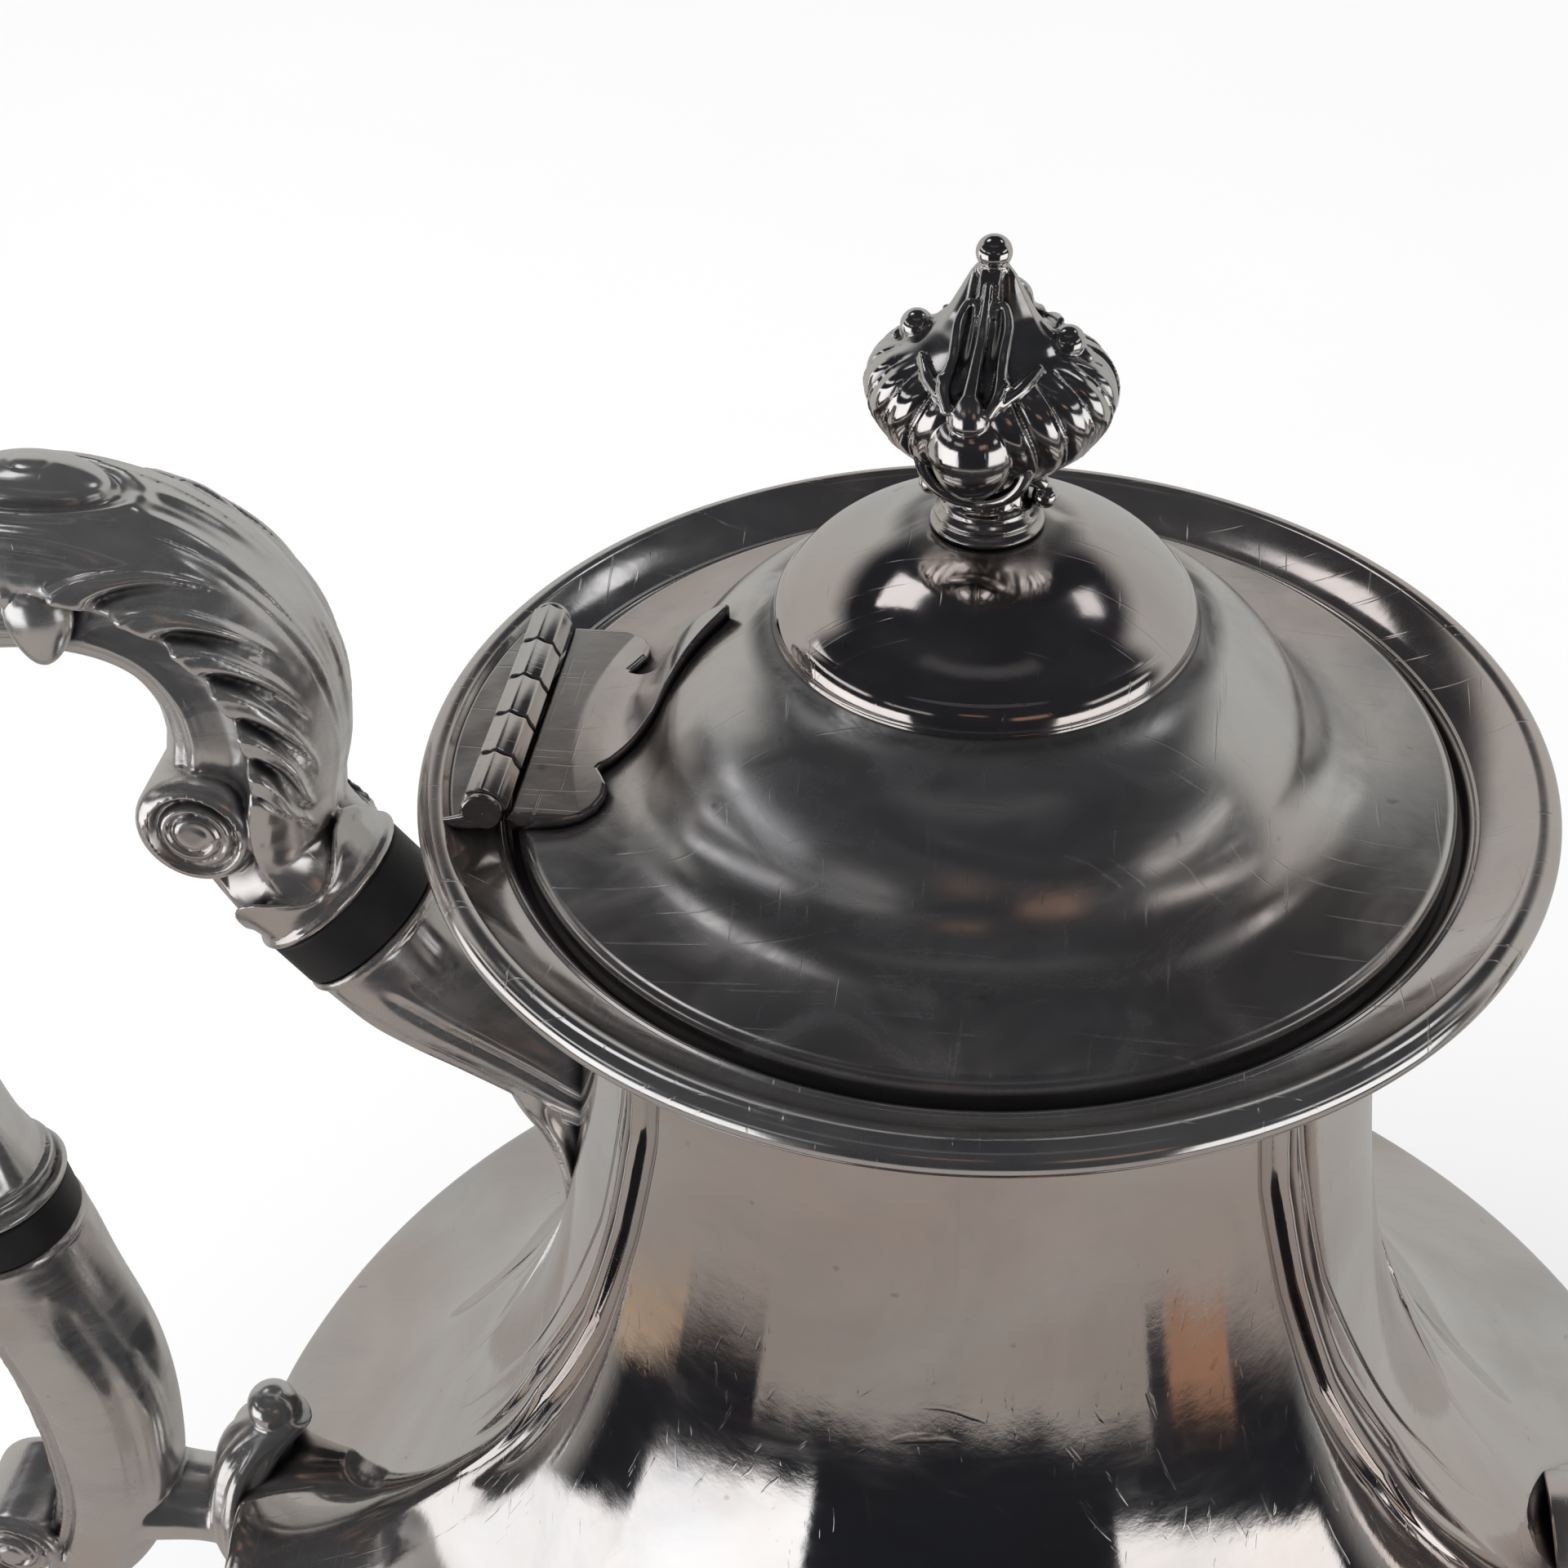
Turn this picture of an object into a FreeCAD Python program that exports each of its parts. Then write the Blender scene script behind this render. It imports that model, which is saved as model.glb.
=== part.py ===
import FreeCAD, Part
import Sketcher
import math
import os

# Silver-plated coffee pot with a hinged lid and a heat-insulated scroll handle.
# Part frame: +Z up, +X towards the spout, -X towards the handle, -Y the front.
# Origin: centre of the footprint on the table.
# Everything but the feet and the base is drawn about the rim plane and lifted by rim_height.

V = FreeCAD.Vector
doc = FreeCAD.newDocument("coffee_pot")

# ---------------------------------------------------------------- driving sizes, mm

DRIVERS = (
    ("rim_height", 188.0), ("rim_radius", 44.0), ("bead_radius", 1.4),
    ("neck_radius", 32.5), ("neck_drop", 4.4), ("body_wall", 1.2),
    ("belly_radius", 75.6), ("belly_drop", 99.5), ("base_radius", 36.0), ("base_lift", 28.0),
    ("ledge_drop", 2.6), ("ledge_radius", 37.3), ("base_thick", 1.2),
    ("lid_radius", 36.5), ("lid_gap", 0.05), ("lid_chord", 34.4),
    ("crown_radius", 16.0), ("crown_foot", 13.6), ("crown_top", 21.8), ("crown_thick", 0.9),
    ("bezel_radius", 30.0), ("bezel_depth", 8.0),
    ("stud_radius", 1.6), ("stud_depth", 7.0), ("washer_radius", 4.5), ("washer_thick", 0.8),
    ("nut_thick", 3.0), ("nut_circle", 4.2), ("finial_tall", 22.4), ("finial_radius", 9.0),
    ("finial_flat", 0.82),
    ("hinge_x", -36.8), ("hinge_z", 2.2), ("knuckle_radius", 1.75), ("knuckle_long", 5.1),
    ("pin_radius", 0.8), ("pin_clear", 0.05), ("knuckle_gap", 0.05),
    ("insulator_radius", 7.3), ("insulator_thick", 4.9), ("tenon_radius", 3.6),
    ("tenon_long", 5.0), ("cross_pin_radius", 0.8),
    ("grip_half_width", 7.8), ("grip_half_thick", 7.2),
    ("spout_wall", 1.6), ("spout_port", 7.0), ("foot_reach", 68.0),
    ("broad_cord", 1.3), ("narrow_cord", 0.8), ("solder_gap", 0.03),
)

sheet = doc.addObject("Spreadsheet::Sheet", "Sizes")
for row, (alias, value) in enumerate(DRIVERS, 1):
    sheet.set("A%d" % row, alias)
    sheet.set("B%d" % row, str(value))
    sheet.setAlias("B%d" % row, alias)
doc.recompute()


def size(alias):
    """The current value of one driving size."""
    return float(getattr(sheet, alias))


def amount(term):
    """Number behind a coordinate: a plain number, or (alias, factor, offset)."""
    if isinstance(term, tuple):
        return size(term[0]) * term[1] + term[2]
    return float(term)


def formula(term):
    """Expression that keeps the same coordinate tied to the sheet."""
    if isinstance(term, tuple):
        return "Sizes.%s * %s + %s" % (term[0], term[1], term[2])
    return str(term)


# ---------------------------------------------------------------- shared builders

def lathe_body(label, outline, lift="Sizes.rim_height"):
    """A PartDesign body turned about Z from a sketch of (radius, height) terms.

    A point may carry a third value: the edge that leaves it is then an arc whose middle
    stands off the chord by that much, to the left of the way the outline runs.
    """
    body = doc.addObject("PartDesign::Body", label)
    sketch = body.newObject("Sketcher::SketchObject", label + "_outline")
    plane = [item for item in body.Origin.OriginFeatures if item.Role == "XZ_Plane"][0]
    sketch.AttachmentSupport = [(plane, "")]
    sketch.MapMode = "FlatFace"
    spots = [V(amount(point[0]), amount(point[1]), 0) for point in outline]
    ends = []
    for i, point in enumerate(outline):
        a = spots[i]
        b = spots[(i + 1) % len(spots)]
        if len(point) == 3:
            left = V(0, 0, 1).cross(b - a).normalize()
            arc = Part.Arc(a, (a + b) * 0.5 + left * point[2], b)
            edge = sketch.addGeometry(arc, False)
            radius = sketch.Geometry[edge].Radius
            sketch.addConstraint(Sketcher.Constraint("Radius", edge, radius))
        else:
            edge = sketch.addGeometry(Part.LineSegment(a, b), False)
        forward = sketch.getPoint(edge, 1).distanceToPoint(a) < 1e-6
        ends.append((edge, 1, 2) if forward else (edge, 2, 1))
    for i, point in enumerate(outline):
        edge, start, finish = ends[i]
        after, after_start, _ = ends[(i + 1) % len(ends)]
        sketch.addConstraint(
            Sketcher.Constraint("Coincident", edge, finish, after, after_start))
        for kind, term in (("DistanceX", point[0]), ("DistanceY", point[1])):
            mark = sketch.addConstraint(
                Sketcher.Constraint(kind, -1, 1, edge, start, amount(term)))
            sketch.setExpression("Constraints[%d]" % mark, formula(term))
    turned = body.newObject("PartDesign::Revolution", label + "_turned")
    turned.Profile = (sketch, [""])
    turned.ReferenceAxis = (sketch, ["V_Axis"])
    turned.Angle = 360
    body.setExpression("Placement.Base.z", lift)
    doc.recompute()
    return body


def solid_feature(label, shape):
    """A casting whose freeform shape is worked out in code from the sheet."""
    item = doc.addObject("Part::Feature", label)
    item.Shape = shape
    item.setExpression("Placement.Base.z", "Sizes.rim_height")
    return item


def rod(label, radius, length, base, direction):
    """Part cylinder with its radius and length tied to the sheet."""
    item = doc.addObject("Part::Cylinder", label)
    item.setExpression("Radius", radius)
    item.setExpression("Height", length)
    item.Placement = FreeCAD.Placement(base, FreeCAD.Rotation(V(0, 0, 1), direction))
    return item


def fused(label, items):
    item = doc.addObject("Part::MultiFuse", label)
    item.Shapes = items
    return item


def cut_from(label, base, tool):
    item = doc.addObject("Part::Cut", label)
    item.Base = base
    item.Tool = tool
    return item


def cylinder(radius, base, direction, length):
    return Part.makeCylinder(radius, length, base, direction)


def ball(radius, centre):
    return Part.makeSphere(radius, centre)


def centreline(stations, start=None, finish=None):
    """Smooth curve in the XZ plane through the (x, z, ...) stations."""
    points = [V(s[0], 0, s[1]) for s in stations]
    curve = Part.BSplineCurve()
    if start is None:
        curve.interpolate(points)
    else:
        curve.interpolate(Points=points, InitialTangent=start * 10, FinalTangent=finish * 10)
    return curve, points


def tube(stations, start=None, finish=None, around=12):
    """Solid of oval sections (x, z, half width, half thickness) square to a centreline."""
    curve, points = centreline(stations, start, finish)
    wires = []
    for point, (_, _, wide, thick) in zip(points, stations):
        along = curve.tangent(curve.parameter(point))[0]
        across = along.cross(V(0, 1, 0))
        ring = []
        for k in range(around):
            a = 2 * math.pi * k / around
            ring.append(point + V(0, 1, 0) * wide * math.cos(a) + across * thick * math.sin(a))
        loop = Part.BSplineCurve()
        loop.interpolate(Points=ring, PeriodicFlag=True)
        wires.append(Part.Wire([loop.toShape()]))
    return Part.makeLoft(wires, True, False)


def turned_solid(edges):
    """Solid turned about Z from a closed half section, with its seam at the back."""
    solid = Part.Face(Part.Wire(edges)).revolve(V(0, 0, 0), V(0, 0, 1), 360)
    solid.rotate(V(0, 0, 0), V(0, 0, 1), 90)
    return solid


def segment(a, b):
    return Part.LineSegment(V(*a), V(*b)).toShape()


# ---------------------------------------------------------------- body

def body_curves(grown=0.0):
    """Shoulder and bowl of the pot's outside, widened by a small amount if asked."""
    neck = size("neck_radius") + grown
    belly = size("belly_radius") + grown
    top = -size("neck_drop")
    waist = -size("belly_drop")
    foot = size("base_lift") + 3.0 - size("rim_height")
    curves = []
    shoulder = ((neck, top), (neck, top - 100.0), (belly, waist + 7.6), (belly, waist))
    bowl = ((belly, waist), (belly, waist - 26.0), (58.0 + grown, foot + 6.0),
            (size("base_radius") + grown, foot))
    for poles in (shoulder, bowl):
        curve = Part.BezierCurve()
        curve.setPoles([V(x, 0, z) for x, z in poles])
        curves.append(curve)
    return curves


def inset_curve(curve, inset):
    """The same curve moved sideways towards the axis, fitted through a few points."""
    points = []
    steps = 12
    for k in range(steps + 1):
        u = k / steps
        along = curve.tangent(u)[0]
        points.append(curve.value(u) + V(0, 1, 0).cross(along) * inset)
    moved = Part.BSplineCurve()
    moved.interpolate(points)
    return moved


def body_radius(z):
    """Outside radius of the pot at height z from the rim plane."""
    for curve in body_curves():
        low, high = curve.EndPoint.z, curve.StartPoint.z
        if low <= z <= high:
            a, b = 0.0, 1.0
            for _ in range(40):
                mid = 0.5 * (a + b)
                if curve.value(mid).z > z:
                    a = mid
                else:
                    b = mid
            return curve.value(a).x
    return size("neck_radius")


def body_envelope():
    """The pot's outside, grown by the solder gap, as one full solid that trims castings."""
    shoulder, bowl = body_curves(size("solder_gap"))
    top = shoulder.StartPoint
    foot = bowl.EndPoint
    ring_foot = foot.z - 3.0
    edges = [shoulder.toShape(), bowl.toShape(),
             segment((foot.x, 0, foot.z), (foot.x, 0, ring_foot)),
             segment((foot.x, 0, ring_foot), (0, 0, ring_foot)),
             segment((0, 0, ring_foot), (0, 0, top.z)),
             segment((0, 0, top.z), (top.x, 0, top.z))]
    return turned_solid(edges)


def body_wall():
    """Spun wall of the pot, open at the mouth and at the foot ring."""
    wall = size("body_wall")
    outer = body_curves()
    inner = [inset_curve(curve, wall) for curve in outer]
    top = outer[0].StartPoint
    foot = outer[1].EndPoint
    ring_foot = foot.z - 3.0
    inner_foot = inner[1].EndPoint
    edges = [outer[0].toShape(), outer[1].toShape(),
             segment((foot.x, 0, foot.z), (foot.x, 0, ring_foot)),
             segment((foot.x, 0, ring_foot), (foot.x - wall, 0, ring_foot)),
             segment((foot.x - wall, 0, ring_foot), (foot.x - wall, 0, foot.z)),
             segment((foot.x - wall, 0, foot.z), tuple(inner_foot)),
             inner[1].toShape(), inner[0].toShape(),
             segment(tuple(inner[0].StartPoint), (top.x, 0, top.z))]
    return turned_solid(Part.__sortEdges__(edges))


# Angle from the front (degrees) and drop below the rim plane of each panel cord.
BROAD_PATH = ((49.5, 13.0), (51.8, 21.0), (58.3, 37.0), (68.4, 52.4), (80.6, 72.0), (85.5, 85.5))
NARROW_PATH = ((46.5, 13.0), (47.7, 21.3), (52.3, 34.1), (58.7, 48.0), (68.4, 63.8), (75.4, 78.8))


def cord(path, radius, side, face):
    """One raised cord: side is +1 at the spout, face is -1 at the front."""
    points = []
    stand = max(radius - size("body_wall") + 0.05, -0.3 * radius)
    for angle, drop in path:
        a = math.radians(angle)
        r = body_radius(-drop) + stand
        points.append(V(side * r * math.sin(a), face * r * math.cos(a), -drop))
    spine = Part.BSplineCurve()
    spine.interpolate(points)
    start = Part.Wire([Part.Circle(points[0], spine.tangent(0)[0], radius).toShape()])
    return Part.Wire([spine.toShape()]).makePipeShell([start], True, False)


def build_body():
    shell = body_wall()
    port = cylinder(size("spout_port"), V(40, 0, -104), V(1, 0, 0), 60)
    shell = shell.cut(port)
    cords = []
    for side in (-1, 1):
        for face in (-1, 1):
            cords.append(cord(BROAD_PATH, size("broad_cord"), side, face))
            cords.append(cord(NARROW_PATH, size("narrow_cord"), side, face))
    for one in cords:
        shell = shell.fuse(one)
    return solid_feature("body_shell", shell)


def build_base_plate():
    rim = ("base_radius", 1, -1.2)
    under = 0.8
    top = ("base_thick", 1, under)
    return lathe_body("base_plate", (
        (0, under + 1.5), (20.0, under + 1.5), (26.0, under), (rim, under),
        (rim, top), (26.5, top), (20.5, ("base_thick", 1, under + 1.5)),
        (0, ("base_thick", 1, under + 1.5))), lift="Sizes.base_lift")


def build_rim_collar():
    bore = ("neck_radius", 1, -1.2)
    skirt = ("neck_radius", 1, 0.05)
    seat = ("neck_drop", -1, 0)
    skirt_foot = ("neck_drop", -1, -2.6)
    ledge = ("ledge_drop", -1, 0)
    step = ("ledge_radius", 1, 0)
    return lathe_body("rim_collar", (
        (bore, seat), (skirt, seat), (skirt, skirt_foot), (("neck_radius", 1, 1.2), skirt_foot),
        (("neck_radius", 1, 1.2), ("neck_drop", -1, -1.0)), (("rim_radius", 1, -3.6), -2.3),
        (("rim_radius", 1, -2.1), ("bead_radius", -0.865, 0), -2.05),
        (("rim_radius", 1, -2.0), ("bead_radius", 0.907, 0), 0.45),
        (("ledge_radius", 1, 0.2), -1.2), (step, -1.2), (step, ledge), (bore, ledge)))


# ---------------------------------------------------------------- lid

def build_lid_cover():
    rim = ("lid_radius", 1, 0)
    lip_foot = ("ledge_drop", -1, size("lid_gap"))
    lip_inside = ("lid_radius", 1, -1.0)
    hat_top = ("crown_foot", 1, 0)
    hat_under = ("crown_foot", 1, -0.9)
    turned = lathe_body("lid_cover_turned", (
        (rim, lip_foot), (rim, -0.3, -0.12), (("lid_radius", 1, -0.6), 0.3),
        (30.0, 1.0, 0.7), (25.6, 5.0, -1.4), (("crown_radius", 1, 0.5), hat_top),
        (("crown_radius", 1, -2.0), hat_top), (("crown_radius", 1, -2.0), hat_under),
        (("crown_radius", 1, 0.2), hat_under, 1.35), (24.9, 4.4, -0.5), (28.6, -0.4),
        (lip_inside, -0.4), (lip_inside, lip_foot)), lift="0")
    chord = doc.addObject("Part::Box", "lid_chord_cut")
    chord.Length = 10
    chord.Width = 60
    chord.Height = 8
    chord.setExpression("Placement.Base.x", "-Sizes.lid_chord - 10")
    chord.setExpression("Placement.Base.y", "-30")
    chord.setExpression("Placement.Base.z", "-5")
    cover = cut_from("lid_cover", turned, chord)
    cover.setExpression("Placement.Base.z", "Sizes.rim_height")
    return cover


def build_lid_crown():
    foot = ("crown_foot", 1, 0)
    top = ("crown_top", 1, 0)
    under = ("crown_top", 1, -0.9)
    hole = ("stud_radius", 1, 0)
    return lathe_body("lid_crown", (
        (("crown_radius", 1, 0), foot, -0.35), (("crown_radius", 1, -1.2), 16.2, -0.2),
        (("crown_radius", 1, -6.0), 19.8, -0.25),
        (4.8, top), (hole, top), (hole, under), (4.8, under, 0.3),
        (("crown_radius", 1, -6.6), 19.0, 0.2), (("crown_radius", 1, -2.2), 15.6, 0.3),
        (("crown_radius", 1, -1.0), foot)))


def build_lid_bezel():
    inside = ("bezel_radius", 1, -1.0)
    outside = ("bezel_radius", 1, 0)
    foot = ("bezel_depth", -1, 0)
    return lathe_body("lid_bezel", ((inside, foot), (outside, foot), (outside, -0.4), (inside, -0.4)))


# Radius and height above the crown of the urn that the finial is cast around.
URN = ((4.0, 0.7), (3.4, 1.6), (3.05, 2.6), (3.05, 3.6), (4.1, 4.9), (6.0, 6.4), (7.8, 8.3),
       (8.8, 10.6), (8.2, 12.9), (5.7, 14.8), (3.4, 16.1), (2.3, 17.7), (1.3, 19.7), (0.8, 20.7))


# Balls cast on the finial: (radius, distance from its axis, height above the crown).
TOP_BALL = (1.25, 0.0, 21.15)
SHOULDER_BALL = (1.3, 5.3, 15.2)
FOOT_BALL = (1.0, 3.8, 2.9)
FACE_BOSS = (3.4, 5.2, 9.2)


def build_finial():
    tall = size("finial_tall") / 22.4
    wide = size("finial_radius") / 9.0
    base = size("crown_top")
    points = [V(r * wide, 0, base + z * tall) for r, z in URN]
    profile = Part.BSplineCurve()
    profile.interpolate(points)
    first = points[0]
    last = points[-1]
    urn = turned_solid([
        segment((0, 0, base), (first.x, 0, base)), segment((first.x, 0, base), tuple(first)),
        profile.toShape(), segment(tuple(last), (0, 0, last.z)),
        segment((0, 0, last.z), (0, 0, base))])
    squeeze = FreeCAD.Matrix()
    squeeze.A22 = size("finial_flat")
    shape = urn.transformGeometry(squeeze)
    for flank in (-1, 1):
        for radius, out, up in (SHOULDER_BALL, FOOT_BALL):
            shape = shape.fuse(ball(radius, V(flank * out * wide, 0, base + up * tall)))
        radius, out, up = FACE_BOSS
        shape = shape.fuse(ball(radius, V(0, flank * out * wide, base + up * tall)))
    radius, out, up = TOP_BALL
    shape = shape.fuse(ball(radius, V(out, 0, base + up * tall)))
    socket = cylinder(size("stud_radius"), V(0, 0, base), V(0, 0, 1), size("stud_depth"))
    return solid_feature("finial", shape.cut(socket))


def build_finial_fixings():
    """Stud, washer and nut that hold the finial from inside the lid."""
    stud = rod("finial_stud", "Sizes.stud_radius",
               "Sizes.washer_thick + Sizes.nut_thick + Sizes.stud_depth + Sizes.crown_thick + 1.0",
               V(0, 0, 0), V(0, 0, 1))
    below = "Sizes.rim_height + Sizes.crown_top - Sizes.crown_thick - Sizes.washer_thick"
    stud.setExpression("Placement.Base.z", below + " - Sizes.nut_thick - 1.0")
    hole = ("stud_radius", 1, 0)
    edge = ("washer_radius", 1, 0)
    thick = ("washer_thick", 1, 0)
    washer = lathe_body("finial_washer", ((hole, 0), (edge, 0), (edge, thick), (hole, thick)),
                        lift=below)
    hexagon = doc.addObject("Part::Prism", "finial_nut_blank")
    hexagon.Polygon = 6
    hexagon.setExpression("Circumradius", "Sizes.nut_circle")
    hexagon.setExpression("Height", "Sizes.nut_thick")
    thread = rod("finial_nut_thread", "Sizes.stud_radius", "Sizes.nut_thick",
                 V(0, 0, 0), V(0, 0, 1))
    nut = cut_from("finial_nut", hexagon, thread)
    nut.setExpression("Placement.Base.z", below + " - Sizes.nut_thick")
    return [stud, washer, nut]


# ---------------------------------------------------------------- hinge

def knuckles(label, places):
    """Hinge barrels at the given places, counted from the front end."""
    pitch = size("knuckle_long")
    gap = size("knuckle_gap")
    front = -2.5 * pitch
    rods = []
    for place in places:
        base = V(size("hinge_x"), front + pitch * place + gap, size("hinge_z"))
        rods.append(rod("%s_barrel_%d" % (label, place), "Sizes.knuckle_radius",
                        "Sizes.knuckle_long - 2 * Sizes.knuckle_gap", base, V(0, 1, 0)))
    return rods


def strip(label, x0, x1, z0, z1, y0, y1):
    """Part box between two corners."""
    box = doc.addObject("Part::Box", label)
    box.Length = x1 - x0
    box.Width = y1 - y0
    box.Height = z1 - z0
    box.Placement.Base = V(x0, y0, z0)
    return box


def hinge_leaf(label, places, plate_span, web_span, seat, bore):
    """A hinge leaf: plate, webs and barrels, trimmed to its seat and bored for the pin."""
    pitch = size("knuckle_long")
    gap = size("knuckle_gap")
    front = -2.5 * pitch
    pieces = knuckles(label, places)
    pieces.append(strip(label + "_plate", *plate_span, front + gap, -front - gap))
    for place in places:
        low = front + pitch * place + gap
        pieces.append(strip("%s_web_%d" % (label, place), *web_span, low, low + pitch - 2 * gap))
    blank = fused(label + "_blank", pieces)
    tools = [rod(label + "_bore", bore, "Sizes.knuckle_long * 6",
                 V(size("hinge_x"), -3 * pitch, size("hinge_z")), V(0, 1, 0))]
    tool_seat = doc.addObject("Part::Feature", label + "_seat")
    tool_seat.Shape = seat
    tools.append(tool_seat)
    leaf = cut_from(label, blank, fused(label + "_relief", tools))
    leaf.setExpression("Placement.Base.z", "Sizes.rim_height")
    return leaf


def at_rim(item):
    """Copy of a finished piece moved back to the rim-plane frame."""
    shape = item.Shape.copy()
    shape.translate(V(0, 0, -size("rim_height")))
    return shape


def build_hinge(collar, cover):
    doc.recompute()
    x = size("hinge_x")
    r = size("knuckle_radius")
    pot_leaf = hinge_leaf("hinge_pot_leaf", (0, 2, 4), (x - 4.6, x - r - 0.2, -0.95, 0.9),
                          (x - r - 0.4, x - 0.5, -0.6, 1.5), at_rim(collar), "Sizes.pin_radius")
    lid_leaf = hinge_leaf("hinge_lid_leaf", (1, 3), (x + r + 0.15, x + 8.6, 0.3, 1.8),
                          (x + 0.5, x + r + 0.3, 0.9, 1.8), at_rim(cover),
                          "Sizes.pin_radius + Sizes.pin_clear")
    half = 2.5 * size("knuckle_long")
    z = size("hinge_z")
    pin = fused("hinge_pin", [
        rod("hinge_pin_shank", "Sizes.pin_radius", "Sizes.knuckle_long * 5",
            V(x, -half, z), V(0, 1, 0)),
        rod("hinge_pin_front_cap", "Sizes.knuckle_radius - 0.2", "0.6",
            V(x, -half + size("knuckle_gap"), z), V(0, -1, 0)),
        rod("hinge_pin_back_cap", "Sizes.knuckle_radius - 0.2", "0.6",
            V(x, half - size("knuckle_gap"), z), V(0, 1, 0))])
    pin.setExpression("Placement.Base.z", "Sizes.rim_height")
    return [pot_leaf, lid_leaf, pin]


# ---------------------------------------------------------------- handle

UPPER_CENTRE = V(-53.6, 0, -19.2)
UPPER_AXIS = V(0.614, 0, -0.789)
LOWER_CENTRE = V(-95.1, 0, -62.0)
LOWER_AXIS = V(0.17, 0, -0.985)


def insulator(label, centre, axis):
    """Insulating ring with a tenon each side, bored across for its two pins."""
    reach = size("insulator_thick") / 2 + size("tenon_long")
    ring = rod(label + "_ring", "Sizes.insulator_radius", "Sizes.insulator_thick",
               V(0, 0, -size("insulator_thick") / 2), V(0, 0, 1))
    tenon = rod(label + "_tenon", "Sizes.tenon_radius",
                "Sizes.insulator_thick + 2 * Sizes.tenon_long", V(0, 0, -reach), V(0, 0, 1))
    crosses = []
    for side in (-1, 1):
        along = side * (size("insulator_thick") + size("tenon_long")) / 2
        crosses.append(rod("%s_cross_%d" % (label, side + 1), "Sizes.cross_pin_radius",
                           "Sizes.insulator_radius * 2",
                           V(0, -size("insulator_radius"), along), V(0, 1, 0)))
    piece = cut_from(label, fused(label + "_blank", [ring, tenon]),
                     fused(label + "_crosses", crosses))
    piece.Placement = FreeCAD.Placement(
        centre + V(0, 0, size("rim_height")), FreeCAD.Rotation(V(0, 0, 1), axis))
    return piece


def cross_pins(length_trim):
    """The four pins across the insulator tenons, in the rim-plane frame."""
    half = size("insulator_radius") - length_trim
    along = (size("insulator_thick") + size("tenon_long")) / 2
    pins = []
    for centre, axis in ((UPPER_CENTRE, UPPER_AXIS), (LOWER_CENTRE, LOWER_AXIS)):
        axis = V(axis).normalize()
        for side in (-1, 1):
            base = centre + axis * (side * along) + V(0, -half, 0)
            pins.append(cylinder(size("cross_pin_radius"), base, V(0, 1, 0), 2 * half))
    return pins


def mortise(shape, centre, axis, side):
    """Ferrule at the insulator's face, bored for the tenon and its cross pin."""
    axis = V(axis).normalize() * side
    face = centre + axis * (size("insulator_thick") / 2)
    ferrule = cylinder(size("insulator_radius"), face, axis, size("tenon_long") + 0.8)
    bead = cylinder(size("insulator_radius") + 0.6, face, axis, 1.4)
    bore = cylinder(size("tenon_radius"), face, axis, size("tenon_long"))
    shape = shape.fuse(ferrule).fuse(bead).cut(bore)
    for pin in cross_pins(0):
        shape = shape.cut(pin)
    return shape


def face_of(centre, axis, side):
    return centre + V(axis).normalize() * (side * size("insulator_thick") / 2)


# Centreline, half width and half thickness of the castings, in the rim-plane frame.
GRIP = ((-59.3, -11.0, 0.90, 0.94), (-59.6, -5.0, 0.97, 0.97), (-58.6, 0.5, 1.0, 1.0),
        (-59.4, 6.0, 1.0, 1.0), (-62.6, 10.9, 1.0, 1.0), (-68.2, 13.8, 1.0, 1.0),
        (-76.0, 14.6, 1.0, 1.0), (-84.0, 12.6, 0.97, 0.97), (-92.5, 6.5, 0.95, 0.94),
        (-99.0, -3.5, 0.92, 0.92), (-102.2, -16.0, 0.90, 0.89), (-102.0, -30.0, 0.87, 0.85),
        (-99.3, -44.0, 0.83, 0.82), (-96.6, -54.0, 0.81, 0.82))
SOCKET = ((-46.5, -27.3, 6.4, 6.4), (-40.5, -32.8, 6.6, 6.6), (-30.0, -39.5, 8.5, 7.5))
SOCKET_LEAF = ((-34.0, -37.0, 5.5, 4.0), (-34.3, -44.0, 3.6, 2.4), (-34.8, -50.0, 0.8, 0.7))
BRACKET = ((-92.6, -74.0, 7.2, 7.2), (-90.6, -84.0, 7.0, 7.4), (-90.3, -95.0, 6.8, 7.0),
           (-91.8, -106.0, 6.6, 6.4), (-96.5, -115.5, 6.2, 5.4), (-104.0, -120.0, 5.8, 4.2),
           (-110.0, -116.0, 5.4, 3.2))
BRACKET_LEAF = ((-69.5, -91.5, 2.2, 2.2), (-74.5, -98.0, 5.5, 3.5), (-76.0, -107.0, 7.0, 4.0),
                (-74.5, -116.0, 5.0, 3.2), (-71.0, -124.0, 1.4, 1.4))


def build_handle_grip():
    wide = size("grip_half_width")
    thick = size("grip_half_thick")
    top = face_of(UPPER_CENTRE, UPPER_AXIS, -1)
    foot = face_of(LOWER_CENTRE, LOWER_AXIS, -1)
    stations = [(top.x, top.z, 6.8, 6.8)]
    stations += [(x, z, wide * w, thick * t) for x, z, w, t in GRIP]
    stations.append((foot.x, foot.z, 6.8, 6.8))
    shape = tube(stations, V(UPPER_AXIS) * -1, V(LOWER_AXIS))
    volute = cylinder(5.4, V(-65.4, -7.6, -10.6), V(0, 1, 0), 15.2)
    eye = cylinder(2.2, V(-65.4, -8.6, -10.6), V(0, 1, 0), 17.2)
    shape = shape.fuse(volute).fuse(eye)
    shape = mortise(shape, UPPER_CENTRE, UPPER_AXIS, -1)
    shape = mortise(shape, LOWER_CENTRE, LOWER_AXIS, -1)
    return solid_feature("handle_grip", shape)


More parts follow.
